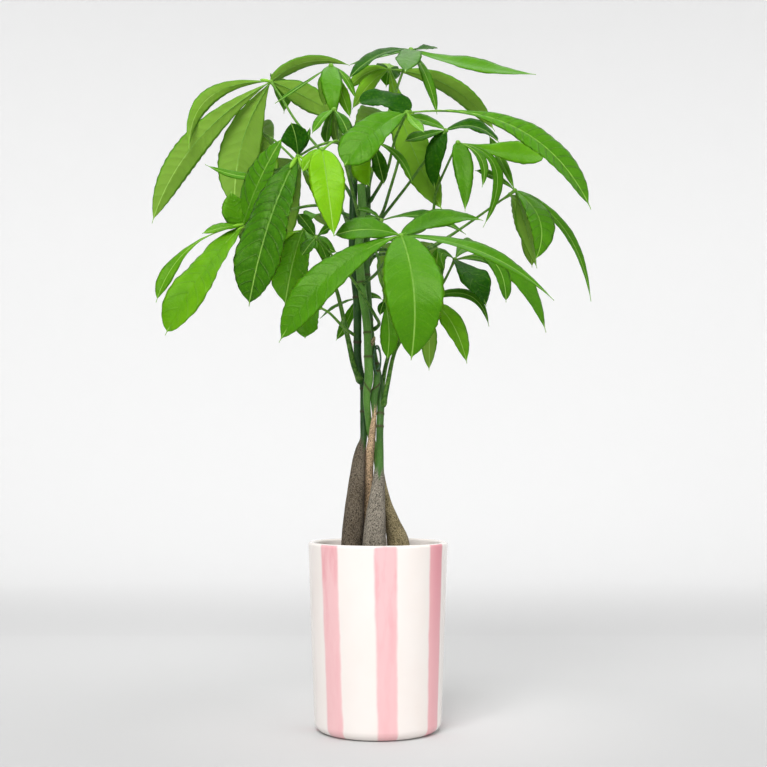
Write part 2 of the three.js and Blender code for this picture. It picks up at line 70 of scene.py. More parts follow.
# Four trunks, each a list of [across, up, depth, radius] in millimetres from the root upwards
TRUNKS = {
    "trunk_left": [
      [-26, 128, 0, 8], [-26, 168, -2, 10.6], [-25.8, 188, -3, 10.9], [-24.2, 208, -3, 10.5],
      [-22.6, 229, -3, 9.3], [-21, 249, -3, 8], [-19.4, 267, -2, 6.5], [-17.2, 280, 1, 5.2],
      [-14.5, 291, 6, 3.6], [-14.5, 306, 11, 3.4], [-14.5, 325, 12, 3.4], [-15, 345, 11, 3.4],
      [-20, 370, 6, 3.8], [-20.5, 400, 0, 4], [-21, 430, -2, 4], [-25, 470, 0, 4], [-25, 510, 2, 4],
      [-24, 552, 2, 3.6]],
    "trunk_front": [
      [-3, 128, -16, 8], [-4, 168, -16, 11], [-3.8, 188, -15, 11.5], [-2.6, 210, -13, 10],
      [-0.9, 231, -10, 8], [0.6, 250, -7, 6], [1.1, 260, -6, 4.8], [1.8, 275, -5, 3.9], [1.8, 296, -6, 3.6],
      [2.4, 314, -3.4, 3.6], [2.8, 328, 2.6, 3.6], [1, 350, 5.5, 3.6], [-4, 372, 5.5, 3.6],
      [-7, 392, 3, 3.6], [-10, 430, 4, 3.8], [-12, 470, 6, 3.8], [-11, 510, 8, 3.8], [-11, 542, 8, 3.6]],
    "trunk_right": [
      [24, 128, 6, 7], [21.4, 168, 6, 11], [19.8, 188, 6, 11], [13.8, 208, 6, 7.8], [8, 224, 5, 6.6],
      [4, 240, 5, 5.6], [1.5, 256, 6, 4.6], [-1, 270, 9, 3.7], [-4.5, 284, 11, 3.5], [-8, 297, 8, 3.4],
      [-9.4, 308, 3.5, 3.3], [-10.6, 320, -2, 3.4], [-11.3, 335, -6, 3.8], [-9.2, 352, -9, 4.5],
      [-9.7, 370, -10, 4.2], [-11, 404, -9, 4], [-16, 440, -8, 4.4], [-19, 480, -6, 4.4],
      [-16, 520, -5, 4.4], [-17, 545, -4, 3.8]],
    "trunk_cut": [
      [-14, 128, 14, 6], [-12, 168, 13, 6], [-10.5, 210, 11, 4.8], [-9.8, 232, 9, 4.3], [-9.3, 254, 6, 4.4],
      [-8.3, 275, 2, 4.3], [-6.2, 290, -2, 3.7], [-4.7, 305, -3, 2.9], [-3.8, 315, -4, 2.3],
      [-3.8, 332, -2.5, 3.9], [-1.6, 345, -4.2, 3.5], [-0.8, 360, -5.5, 3.3]],
}

# For each trunk: height where the bark ends, bark colour, painted light on the green stem from shaded
# (0) to lit (1), and its ring scars as [height, slant across the stem]
TRUNK_LOOKS = {
    "trunk_left": (285, (0.088, 0.068, 0.044), 0.05, ((318.5, 0), (342, 0), (388, 0), (432, 0), (476, 0))),
    "trunk_front": (257, (0.178, 0.156, 0.122), 0.40, ((303, 0), (315.5, 0), (366, 0), (410, 0), (455, 0))),
    "trunk_right": (262, (0.180, 0.145, 0.072), 0.95,
                    ((342, -1.05), (372, 0), (396, 0), (446, 0), (498, 0))),
    "trunk_cut": (318, (0.420, 0.290, 0.170), 0.4, ((342.5, 1.05), (358.5, 0))),
}

# Buds as [foot, tip, radius] on the leaf or trunk that they grow from
BUDS = {
    "leaf_left": (([-134, 505, -16], [-147, 503, -21], 1.7), ([-134, 503, -16], [-143, 498, -22], 1.4)),
    "leaf_dark_left": (([-81, 573, -62], [-88, 561, -70], 2.3), ([-80, 573, -62], [-75, 560, -68], 1.7),
                       ([-79, 574, -60], [-71, 568, -66], 1.5)),
    "leaf_top_left": (([-107, 648, 62], [-118, 650, 62], 1.8),),
    "trunk_right": (([-9, 381, -9], [-3, 393, -12], 2.4),),
}

# Every leaf: its stalk from the trunk to the knuckle, the way its upper side faces, and its leaflets
# as [middle of the midrib, tip, full width, turn in degrees, tone from 0, dark, to 1, lime, press of
# the side veins, share of the length where it is widest, power of the fall to the tip], the last two
# left out for the usual outline; a last number is the foot radius of a thicker or thinner stalk
LEAVES = {
    "leaf_top_left": [
      [[-24, 530, 2], [-52, 572, 26], [-81, 607, 48], [-96, 631, 58], [-107, 648, 62]],
      [0.1, 0.93, 0.35],
      [[[-70, 668, 68], [-28, 664, 76], 15, 40, 0.45, 0.4, 0.3],
       [[-77, 635, 66], [-38, 612, 60], 27, 0, 0.5, 0.5],
       [[-183, 586, 44], [-226, 506, 34], 29, 0, 0.5, 0.6, 0.6],
       [[-169, 632, 50], [-189, 580, 20], 17, 0, 0.6, 0.6],
       [[-136, 586, 66], [-143, 520, 58], 43, 0, 0.45, 0.5, 0.6],
       [[-96, 650, 104], [-94, 616, 138], 28, 0, 0.4, 0.6]]],
    "leaf_top_small": [
      [[-24, 540, 2], [-38, 590, 10], [-46, 640, 14], [-47, 664, 14]],
      [0, -0.8, 0.6],
      [[[-78, 643, 2], [-103, 626, -8], 5, 0, 0.3, 0.4],
       [[-46, 637, -8], [-43, 608, -6], 22, 0, 0.52, 0.6, 0.32, 1.2],
       [[-33, 652, 6], [-22, 630, 6], 8, 0, 0.42, 0.5], [[-36, 636, 14], [-28, 612, 12], 13, 0, 0.72, 0.4],
       [[-50, 648, 32], [-54, 622, 46], 20, 0, 0.45, 0.6]]],
    "leaf_crown": [
      [[-11, 536, 8], [2, 590, 30], [22, 650, 34], [33, 680, 18]],
      [0, -0.55, 0.83],
      [[[0, 674, 6], [-30, 650, 0], 23, 0, 0.1, 0.5], [[0, 672, 36], [-28, 665, 44], 18, 0, 0.5, 0.4],
       [[46, 681, 22], [59, 682, 28], 15, 0, 0.05, 0.3, 0.75, 0.35],
       [[93, 664, 8], [158, 655, 4], 21, 12, 0.52, 0.6, 0.52],
       [[49, 651, -4], [59, 615, -2], 11, 0, 0.42, 0.7],
       [[31, 673, -22], [27, 657, -52], 26, 0, 0.28, 0.5]]],
    "leaf_top_back": [
      [[-11, 500, 8], [3, 514, 22], [12, 540, 34], [22, 575, 46], [26, 602, 54], [20, 640, 58],
       [11, 660, 58]],
      [0, 0.85, 0.52],
      [[[-10, 657, 62], [-31, 640, 64], 14, 0, 0.7, 0.3], [[-8, 646, 56], [-26, 620, 54], 16, 0, 0.75, 0.3],
       [[72, 643, 62], [117, 598, 56], 21, 0, 0.5, 0.5], [[32, 588, 40], [65, 518, 24], 36, 0, 0.75, 0.4],
       [[11, 664, 92], [8, 642, 124], 28, 0, 0.4, 0.5]]],
    "leaf_big_right": [
      [[-9, 526, 4], [8, 556, -2], [17, 590, -14], [29, 617, -44]],
      [0.1, -0.8, 0.6],
      [[[6, 630, -38], [-20, 626, -36], 27, 0, 0.02, 0.3, 0.42, 0.35],
       [[-4, 598, -62], [-34, 563, -68], 41, 0, 0.5, 1.0, 0.68, 0.5],
       [[141, 600, -66], [213, 520, -58], 34, 0, 0.48, 1.5, 0.74],
       [[36, 607, -62], [46, 597, -80], 12, 0, 0.7, 0.4]]],
    "leaf_young_right": [
      [[-11, 490, 8], [6, 514, 12], [30, 545, 12], [52, 576, 8], [68, 599, 2]],
      [0, -0.8, 0.6],
      [[[46, 594, -2], [26, 588, -6], 15, 0, 0.25, 0.5], [[50, 608, 6], [24, 613, 10], 14, 0, 0.4, 0.4],
       [[97, 603, 12], [121, 587, 14], 19, 0, 0.1, 0.5, 0.6, 0.5],
       [[57, 573, 2], [57, 540, 6], 21, 0, 0.06, 0.5, 0.45]]],
    "leaf_narrow_right": [
      [[-11.5, 480, 7], [4, 488, 20], [24, 494, 27], [46, 500, 28], [55, 518, 24], [58, 538, 20],
       [70, 566, 10], [80, 587, -6]],
      [0, -0.9, 0.45],
      [[[86, 556, -18], [87, 518, -22], 20, 0, 0.42, 0.5, 0.36],
       [[103, 571, -14], [104, 542, -16], 9, 0, 0.4, 0.5],
       [[118, 560, -4], [105, 502, -2], 12, 0, 0.45, 0.7],
       [[129, 577, 4], [167, 575, 8], 27, 0, 0.64, 0.5, 0.75, 0.4]]],
    "leaf_right": [
      [[-11.5, 471, 7], [1, 480, 13], [20, 478, 15], [48, 479, 14], [83, 501, 14], [120, 527, 14],
       [137, 539, 14]],
      [0.3, -0.8, 0.5],
      [[[147, 506, 24], [159, 461, 28], 22, 180, 0.3, 0.4],
       [[162, 508, -8], [157, 469, -12], 28, 0, 0.45, 1.4, 0.5],
       [[188, 498, 14], [213, 428, 16], 13, 0, 0.4, 0.7, 0.42],
       [[124, 567, 22], [111, 594, 28], 13, 0, 0.6, 0.6], [[118, 552, 8], [97, 559, 4], 11, 0, 0.35, 0.5],
       [[152, 516, 50], [158, 480, 80], 22, 0, 0.4, 0.5]]],
    "leaf_front": [
      [[-16, 444, -8], [0, 458, -34], [14, 480, -66], [23, 494, -78]],
      [0, -0.85, 0.53],
      [[[-11, 500, -82], [-44, 494, -80], 28, 0, 0.34, 0.6],
       [[-44, 457, -98], [-99, 387, -92], 37, 0, 0.44, 0.8, 0.66, 0.7],
       [[36, 437, -112], [33, 369, -102], 55, 0, 0.5, 0.45, 0.46, 0.75],
       [[107, 476, -88], [176, 429, -80], 18, -15, 0.42, 0.5, 0.5],
       [[64, 511, -66], [105, 509, -58], 21, 0, 0.36, 0.4, 0.42]]],
    "leaf_grey": [
      [[-15, 496, -4], [-8, 502, -16], [3, 509, -26]],
      [0.2, -0.6, 0.77],
      [[[46, 513, -34], [88, 495, -38], 17, 0, 0.25, 0.3],
       [[-8, 518, -28], [-21, 520, -26], 11, 0, 0.3, 0.4],
       [[-6, 512, -38], [-14, 504, -42], 10, 0, 0.2, 0.4]]],
    "leaf_low_right": [
      [[5, 322, 0], [9.5, 345, -4], [15, 372, -4], [21, 386, 0], [36, 408, 0], [50, 430, -2]],
      [0.3, -0.8, 0.5],
      [[[91, 434, 2], [111, 403, 2], 11, 0, 0.25, 0.5, 0.45],
       [[73, 408, -18], [89, 366, -18], 24, 0, 0.72, 0.9],
       [[51, 396, -26], [51, 359, -26], 17, 180, 0.55, 0.4],
       [[57, 458, -2], [60, 483, -2], 18, 0, 0.4, 0.5],
       [[30, 428, 34], [8, 398, 54], 22, 0, 0.4, 0.6]],
      2.7],
    "leaf_far_right": [
      [[3, 331, 3], [5.2, 349, 9], [8.6, 367, 15], [15, 382, 20], [42, 416, 24], [63, 443, 16],
       [77, 470, 0]],
      [0.3, -0.75, 0.58],
      [[[96, 450, -34], [108, 423, -40], 32, 0, 0.06, 1.2, 0.5],
       [[115, 468, -20], [128, 427, -22], 16, 0, 0.35, 0.6, 0.75, 0.5],
       [[134, 457, -6], [168, 397, -4], 21, 0, 0.4, 0.6, 0.6],
       [[64, 476, -14], [66, 461, -22], 13, 0, 0.35, 0.6],
       [[95, 482, 34], [120, 458, 62], 24, 0, 0.4, 0.6]],
      2.4],
    "leaf_hanging": [
      [[-18, 484, -6], [-9, 486, -16], [-1, 475, -20], [3, 456, -22], [7, 429, -24]],
      [0, -0.95, 0.3],
      [[[11, 398, -30], [9, 370, -28], 18, 0, 0.48, 0.4],
       [[4, 423, -26], [2, 414, -28], 8, 0, 0.15, 0.3]],
      1.5],
    "leaf_small_left": [
      [[-20, 412, 1], [-18, 422, 11], [-22, 431, 20]],
      [0, -0.8, 0.6],
      [[[-40, 424, 36], [-58, 411, 44], 10, 0, 0.35, 0.5],
       [[-30, 410, 28], [-42, 389, 30], 12, 0, 0.4, 0.5], [[-8, 434, 22], [4, 430, 22], 8, 0, 0.3, 0.5]]],
    "leaf_young_left": [
      [[-7, 398, 3], [1, 405, -4], [-3, 414, -15], [-12, 429, -18], [-27, 452, -22], [-46, 474, -34],
       [-62, 492, -44]],
      [0, -0.8, 0.6],
      [[[-71, 505, -46], [-80, 516, -44], 15, 0, 0.2, 0.6],
       [[-52, 500, -50], [-44, 504, -54], 11, 0, 0.3, 0.5],
       [[-69, 484, -52], [-76, 474, -56], 14, 0, 0.3, 0.6],
       [[-55, 480, -40], [-50, 465, -38], 14, 0, 0.35, 0.5]]],
    "leaf_low_left": [
      [[-16, 345, 10], [-24, 364, 6], [-28.5, 384, 8], [-33, 404, 14], [-42, 441, 26], [-56, 472, 34],
       [-74, 500, 38]],
      [-0.2, -0.7, 0.68],
      [[[-60, 487, 18], [-41, 477, 14], 18, 0, 0.45, 0.8],
       [[-84, 471, 34], [-93, 424, 30], 50, 0, 0.55, 1.0],
       [[-108, 478, 44], [-117, 434, 46], 22, 0, 0.8, 0.8],
       [[-62, 515, 66], [-48, 500, 96], 26, 0, 0.4, 0.6]],
      3.2],
    "leaf_tiny_left": [
      [[-20, 392, 2], [-34, 402, -8], [-48, 416, -14], [-58, 422, -18]],
      [-0.2, -0.8, 0.55],
      [[[-69, 408, -22], [-73, 391, -24], 26, 0, 0.45, 0.7],
       [[-66, 425, -18], [-74, 419, -18], 10, 0, 0.4, 0.5]]],
    "leaf_left": [
      [[-24, 512, 4], [-60, 524, 16], [-100, 516, 6], [-135, 504, -14]],
      [-0.3, -0.85, 0.43],
      [[[-118, 550, -30], [-95, 592, -34], 34, 0, 0.42, 1.5, 0.48],
       [[-143, 518, -17], [-147, 538, -20], 27, 0, 0.58, 0.8, 0.5],
       [[-154, 502, -26], [-176, 496, -30], 15, 0, 0.66, 0.6],
       [[-190, 480, -18], [-222, 427, -22], 16, 0, 0.66, 0.7, 0.8],
       [[-172, 461, -44], [-213, 394, -48], 42, 0, 0.72, 0.9, 0.68, 0.5],
       [[-128, 500, 34], [-122, 470, 60], 26, 0, 0.4, 0.8]]],
    "leaf_dark_left": [
      [[-23, 545, -2], [-30, 575, -18], [-42, 587, -34], [-62, 583, -50], [-80, 573, -60]],
      [-0.3, -0.85, 0.43],
      [[[-82, 591, -66], [-87, 607, -70], 28, 0, 0.06, 0.5],
       [[-72, 588, -64], [-68, 602, -64], 8, 0, 0.2, 0.4],
       [[-122, 553, 2], [-173, 565, 8], 10, 0, 0.5, 0.5],
       [[-109, 506, -84], [-129, 423, -78], 50, 0, 0.27, 1.7, 0.62, 0.6]]],
    "leaf_lime": [
      [[-19, 512, -6], [-32, 563, -40], [-40, 588, -64], [-56, 580, -84]],
      [0.1, -0.9, 0.42],
      [[[-50, 541, -98], [-44, 493, -98], 33, 0, 0.95, 0.55, 0.4],
       [[-66, 572, -88], [-76, 557, -94], 14, 0, 0.85, 0.4]]],
    "leaf_centre": [
      [[-17, 540, -4], [-10, 565, -12], [-5, 588, -22]],
      [0, -0.85, 0.5],
      [[[-17, 566, -32], [-8, 543, -34], 20, 0, 0.88, 0.5],
       [[1, 566, -22], [6, 545, -22], 15, 0, 0.15, 0.4], [[19, 574, -24], [34, 547, -22], 9, 0, 0.4, 0.4]]],
    "leaf_inner_left": [
      [[-24, 548, 0], [-34, 586, -14], [-44, 620, -22]],
      [-0.2, -0.7, 0.68],
      [[[-55, 612, -30], [-66, 596, -34], 13, 0, 0.55, 0.5],
       [[-50, 604, -20], [-51, 584, -16], 15, 0, 0.35, 0.5],
       [[-34, 606, -36], [-28, 588, -40], 13, 0, 0.2, 0.5],
       [[-44, 604, -8], [-40, 584, 0], 14, 0, 0.15, 0.5]]],
    "leaf_back_left": [
      [[-24, 480, 4], [-36, 520, 44], [-56, 554, 84], [-76, 566, 104]],
      [-0.2, 0.6, 0.77],
      [[[-98, 530, 116], [-116, 484, 118], 32, 0, 0.45, 0.8],
       [[-92, 522, 128], [-104, 470, 124], 34, 0, 0.4, 0.8],
       [[-56, 540, 116], [-46, 500, 112], 28, 0, 0.4, 0.8],
       [[-96, 560, 150], [-104, 520, 190], 34, 0, 0.45, 0.8],
       [[-62, 560, 154], [-54, 518, 200], 30, 0, 0.4, 0.8]]],
    "leaf_back_right": [
      [[-22, 492, 4], [-14, 494, 36], [10, 490, 84], [27, 484, 100]],
      [0.2, 0.6, 0.77],
      [[[34, 450, 118], [36, 396, 116], 38, 0, 0.45, 0.8],
       [[46, 462, 112], [56, 420, 112], 28, 0, 0.5, 0.8], [[16, 474, 146], [4, 438, 190], 34, 0, 0.4, 0.8],
       [[44, 478, 150], [52, 446, 200], 36, 0, 0.45, 0.8]]],
    "leaf_back_top": [
      [[-16, 530, 6], [-8, 570, 48], [2, 604, 90], [6, 616, 100]],
      [0, 0.6, 0.8],
      [[[-14, 596, 112], [-20, 564, 116], 28, 0, 0.4, 0.8],
       [[26, 598, 110], [32, 570, 114], 26, 0, 0.45, 0.8],
       [[-6, 610, 152], [-12, 566, 204], 38, 0, 0.5, 0.8],
       [[22, 610, 146], [32, 576, 190], 34, 0, 0.45, 0.8]]],
    "leaf_back_far_left": [
      [[-25, 505, 4], [-60, 545, 50], [-100, 586, 84], [-122, 600, 96]],
      [-0.3, 0.55, 0.78],
      [[[-134, 570, 104], [-136, 528, 102], 30, 0, 0.4, 0.8],
       [[-112, 572, 86], [-107, 540, 82], 24, 0, 0.5, 0.8],
       [[-132, 594, 134], [-134, 558, 172], 32, 0, 0.45, 0.8],
       [[-114, 596, 142], [-110, 556, 190], 32, 0, 0.45, 0.8]]],
    "leaf_back_far_right": [
      [[-12, 461, 6], [-2, 474, 18], [20, 476, 38], [48, 481, 54], [83, 501, 72], [120, 527, 84],
       [132, 535, 88]],
      [0.3, 0.55, 0.78],
      [[[148, 500, 98], [154, 462, 98], 24, 0, 0.45, 0.8],
       [[148, 520, 124], [156, 490, 158], 24, 0, 0.4, 0.8],
       [[146, 518, 132], [149, 480, 180], 30, 0, 0.5, 0.8]]],
}


# Shapes as arrays

SPLINE_STEPS = 40
SHORTEST = 1e-12
WAVE_START = (0, 6)


def placed(rows):
    """Ordinates [across, up, depth] on the upright drawing plane, moved along the line of sight to
    their depth, and turned from millimetres to metres."""
    rows = np.asarray(rows, float)
    depth = rows[..., 2]
    spread = (EYE_DISTANCE + depth) / EYE_DISTANCE
    across = EYE_ACROSS + (rows[..., 0] - EYE_ACROSS) * spread
    up = EYE_HEIGHT + (rows[..., 1] - EYE_HEIGHT) * spread
    return np.stack([across, depth, up], -1) * MM


def unit(vectors):
    """Vectors divided by their length."""
    return vectors / np.maximum(np.linalg.norm(vectors, axis=-1, keepdims=True), SHORTEST)


def spline(points, count):
    """A uniform Catmull-Rom curve through the rows of points, sampled at count places that lie
    evenly along its length. Columns past the third, such as a radius, ride along."""
    points = np.asarray(points, float)
    ends = np.vstack([2 * points[:1] - points[1:2], points, 2 * points[-1:] - points[-2:-1]])
    spans = len(points) - 1
    share = np.linspace(0, spans, SPLINE_STEPS * spans + 1)
    first = np.minimum(share.astype(int), spans - 1)
    t = (share - first)[:, None]
    a, b, c, d = (ends[first + k] for k in range(4))
    curve = 0.5 * (
        2 * b + (c - a) * t + (2 * a - 5 * b + 4 * c - d) * t**2 + (3 * b - a - 3 * c + d) * t**3)
    steps = np.linalg.norm(np.diff(curve[:, :3], axis=0), axis=1)
    length = np.concatenate([[0], np.cumsum(steps)])
    even = np.linspace(0, length[-1], count)
    return np.stack([np.interp(even, length, curve[:, k]) for k in range(curve.shape[1])], 1)


def closed_grid(rings):
    """A skin over a row of rings that are closed on themselves, with a point in the middle of the
    first and the last ring. Returns places and faces; the points are the last two places."""
    rows, sides = rings.shape[:2]
    places = np.vstack([rings.reshape(-1, 3), rings[0].mean(0), rings[-1].mean(0)])
    row = np.arange(rows - 1)[:, None] * sides
    side = np.arange(sides)[None, :]
    after = (side + 1) % sides
    quads = np.stack([row + side, row + after, row + after + sides, row + side + sides], -1).reshape(-1, 4)
    low = np.stack([after[0], side[0], np.full(sides, rows * sides)], 1)
    top = (rows - 1) * sides
    high = np.stack([top + side[0], top + after[0], np.full(sides, rows * sides + 1)], 1)
    return places, quads, np.vstack([low, high])


def shape_of(rings, slot=0, uv=None, **values):
    """The skin of closed_grid with values for each point of the rings, carried to the end points."""
    places, quads, tris = closed_grid(rings)
    rows, sides = rings.shape[:2]
    shape = {"places": places, "quads": quads, "tris": tris, "slot": slot, "values": {}}
    if uv is None:
        around = np.broadcast_to(np.linspace(0, 1, sides, endpoint=False)[None, :], (rows, sides))
        along = np.broadcast_to(np.linspace(0, 1, rows)[:, None], (rows, sides))
        uv = np.stack([around, along], -1)
    shape["uv"] = np.vstack([uv.reshape(-1, 2), uv[0].mean(0), uv[-1].mean(0)])
    for name, value in values.items():
        grid = np.broadcast_to(np.asarray(value, float), (rows, sides))
        shape["values"][name] = np.concatenate([grid.ravel(), [grid[0].mean(), grid[-1].mean()]])
    return shape


def tube(path, radius, sides, aside=(0.0, 1.0, 0.0), relief=0.0, **values):
    """A round profile carried along a path: each ring lies round its path point, square to the path,
    at the radius plus the relief."""
    along = unit(np.gradient(path, axis=0))
    first = unit(np.asarray(aside, float) - (along @ np.asarray(aside, float))[:, None] * along)
    second = np.cross(along, first)
    angle = np.linspace(0, 2 * np.pi, sides, endpoint=False)
    spokes = np.cos(angle)[None, :, None] * first[:, None] + np.sin(angle)[None, :, None] * second[:, None]
    reach = np.broadcast_to(np.asarray(radius, float)[:, None] + relief, (len(path), sides))
    return shape_of(path[:, None] + reach[..., None] * spokes, **values)


def joined(shapes):
    """Several shapes as one, with every named value on all of them."""
    names = sorted({name for shape in shapes for name in shape["values"]})
    starts = np.cumsum([0] + [len(shape["places"]) for shape in shapes])
    whole = {
        "places": np.vstack([shape["places"] for shape in shapes]),
        "quads": np.vstack([shape["quads"] + start for shape, start in zip(shapes, starts)]),
        "tris": np.vstack([shape["tris"] + start for shape, start in zip(shapes, starts)]),
        "uv": np.vstack([shape["uv"] for shape in shapes]),
    }
    whole["slots"] = np.concatenate(
        [np.full(len(shape["quads"]), shape["slot"]) for shape in shapes]
        + [np.full(len(shape["tris"]), shape["slot"]) for shape in shapes])
    whole["values"] = {
        name: np.concatenate([shape["values"].get(name, np.zeros(len(shape["places"]))) for shape in shapes])
        for name in names}
    return whole


def piece(name, shapes, materials, nodes):
    """A mesh object from shapes, riding on the body and standing for its nodes."""
    whole = joined(shapes)
    quads, tris = whole["quads"], whole["tris"]
    mesh = bpy.data.meshes.new(name)
    mesh.vertices.add(len(whole["places"]))
    mesh.vertices.foreach_set("co", whole["places"].astype(np.float32).ravel())
    corners = np.concatenate([quads.ravel(), tris.ravel()]).astype(np.int32)
    mesh.loops.add(len(corners))
    mesh.loops.foreach_set("vertex_index", corners)
    sizes = np.concatenate([np.full(len(quads), 4), np.full(len(tris), 3)])
    mesh.polygons.add(len(sizes))
    starts = np.concatenate([[0], np.cumsum(sizes)[:-1]]).astype(np.int32)
    mesh.polygons.foreach_set("loop_start", starts)
    mesh.polygons.foreach_set("material_index", whole["slots"].astype(np.int32))
    mesh.update(calc_edges=True)
    mesh.shade_smooth()
    layer = mesh.uv_layers.new(name="UVMap")
    layer.data.foreach_set("uv", whole["uv"][corners].astype(np.float32).ravel())
    for label, value in whole["values"].items():
        mesh.attributes.new(label, "FLOAT", "POINT").data.foreach_set("value", value.astype(np.float32))
    if mesh.validate():
        raise RuntimeError(f"{name} has faces that are not sound")
    made = bpy.data.objects.new(name, mesh)
    bpy.context.scene.collection.objects.link(made)
    for material in materials:
        mesh.materials.append(material)
    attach(made, BODY)
    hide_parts(*nodes)
    return made


# Materials

LEAF_TINT = (0.85, 1.0, 0.5, 1.0)
LEAF_SCATTER = (0.5, 1.0, 0.15)
LEAF_SCATTER_DEPTH = 0.0015
# Power of the press for the painted shade in the leaf creases
CREASE_SHADE_POWER = 2.5
CRUMB_DARK = (0.022, 0.014, 0.009)
CRUMB_PALE = (0.11, 0.07, 0.04)
CHIP_PALE = (0.2, 0.125, 0.07)
WIRE_DARK = (0.008, 0.05, 0.014)
WIRE_PALE = (0.03, 0.13, 0.04)
WHITE = (1, 1, 1)
BARK_PALE_GAIN = 2.1
BARK_PALE_LIFT = 0.05
BARK_DEEP_GAIN = 0.16

# Noises as [scale for each metre, detail, stretch along the axes] and cells by their scale
NOISE_ROUGHNESS = 0.55
BLADE_CLOUDS = (55.0, 3.0)
BLADE_BREAKS = (80.0, 2.0)
BLADE_GRAIN = (420.0, 2.0)
BLADE_CELLS = 330.0
STALK_STREAKS = (260.0, 2.0)
BARK_STREAKS = (900.0, 5.0, (1.0, 1.0, 0.5))
BARK_GRAIN = (1100.0, 5.0)
BARK_PATCHES = (90.0, 3.0, (1.0, 1.0, 0.5))
BARK_SPECKS = 430.0
GLAZE_WOBBLE = (26.0, 2.0, (1.0, 1.0, 0.7))
GLAZE_EDGE = (160.0, 2.0, (1.0, 1.0, 0.35))
GLAZE_BRUSH = (120.0, 3.0, (1.0, 1.0, 0.2))
GLAZE_SPECKS = (700.0, 2.0)
SOIL_CRUMBS = (420.0, 6.0)
WIRE_SCUFFS = (500.0, 2.0)

# Bumps as [strength, height in metres]
CELL_BUMP = (0.2, 0.0004)
PILLOW_BUMP = (0.7, 0.0007)
GRAIN_BUMP = (0.12, 0.0004)
STALK_BUMP = (0.15, 0.0003)
BARK_BUMP = (0.8, 0.0009)
GLAZE_BUMP = (0.25, 0.0012)
SOIL_BUMP = (0.9, 0.002)


def feed(tree, node, inputs):
    """Sets a node's inputs by name; an input is a value or another node's output."""
    for name, value in inputs.items():
        if isinstance(value, bpy.types.NodeSocket):
            tree.links.new(value, node.inputs[name])
        else:
            node.inputs[name].default_value = value


def sockets(tree, kind, inputs=None, **settings):
    """A new node of a kind with its settings and inputs."""
    made = tree.nodes.new(kind)
    for name, value in settings.items():
        setattr(made, name, value)
    feed(tree, made, inputs or {})
    return made


def calc(tree, operation, first, second=0.0, third=0.0):
    """A Math node's output."""
    return sockets(tree, "ShaderNodeMath", {0: first, 1: second, 2: third}, operation=operation).outputs[0]


def varied(tree, base, value, amount):
    """A base raised by an amount for each unit of a value above one half."""
    return calc(tree, "MULTIPLY_ADD", calc(tree, "SUBTRACT", value, 0.5), amount, base)


def opaque(paint):
    """A colour of three numbers with a fourth for opacity; another node's output stays as it is."""
    return paint if isinstance(paint, bpy.types.NodeSocket) else (*paint, 1.0)


def blend(tree, share, first, second):
    """Two colours mixed by share."""
    inputs = {0: share, 6: opaque(first), 7: opaque(second)}
    return sockets(tree, "ShaderNodeMix", inputs, data_type="RGBA").outputs[2]


def ease(tree, value, low, high, start=0.0, stop=1.0):
    """A smooth step of value from low to high, giving start to stop."""
    inputs = {"Value": value, "From Min": low, "From Max": high, "To Min": start, "To Max": stop}
    return sockets(tree, "ShaderNodeMapRange", inputs, interpolation_type="SMOOTHSTEP").outputs[0]


def noise(tree, where, scale, detail=2.0, stretch=(1.0, 1.0, 1.0)):
    """Noise over Object coordinates, stretched along the axes."""
    mapped = sockets(tree, "ShaderNodeMapping", {"Vector": where, "Scale": stretch}).outputs[0]
    inputs = {"Vector": mapped, "Scale": scale, "Detail": detail, "Roughness": NOISE_ROUGHNESS}
    return sockets(tree, "ShaderNodeTexNoise", inputs).outputs[0]


def attribute(tree, name):
    """A named value of the mesh."""
    return sockets(tree, "ShaderNodeAttribute", attribute_name=name).outputs["Fac"]


def coordinates(tree):
    """Object coordinates."""
    return sockets(tree, "ShaderNodeTexCoord").outputs["Object"]


def new_material(name):
    """A material with its tree and its shader."""
    material = bpy.data.materials.new(name)
    material.use_nodes = True
    return material, material.node_tree, material.node_tree.nodes["Principled BSDF"]


def bump(tree, height, strength, distance, under=None):
    """A Bump node's normal."""
    inputs = {"Height": height, "Strength": strength, "Distance": distance}
    if under is not None:
        inputs["Normal"] = under
    return sockets(tree, "ShaderNodeBump", inputs).outputs[0]


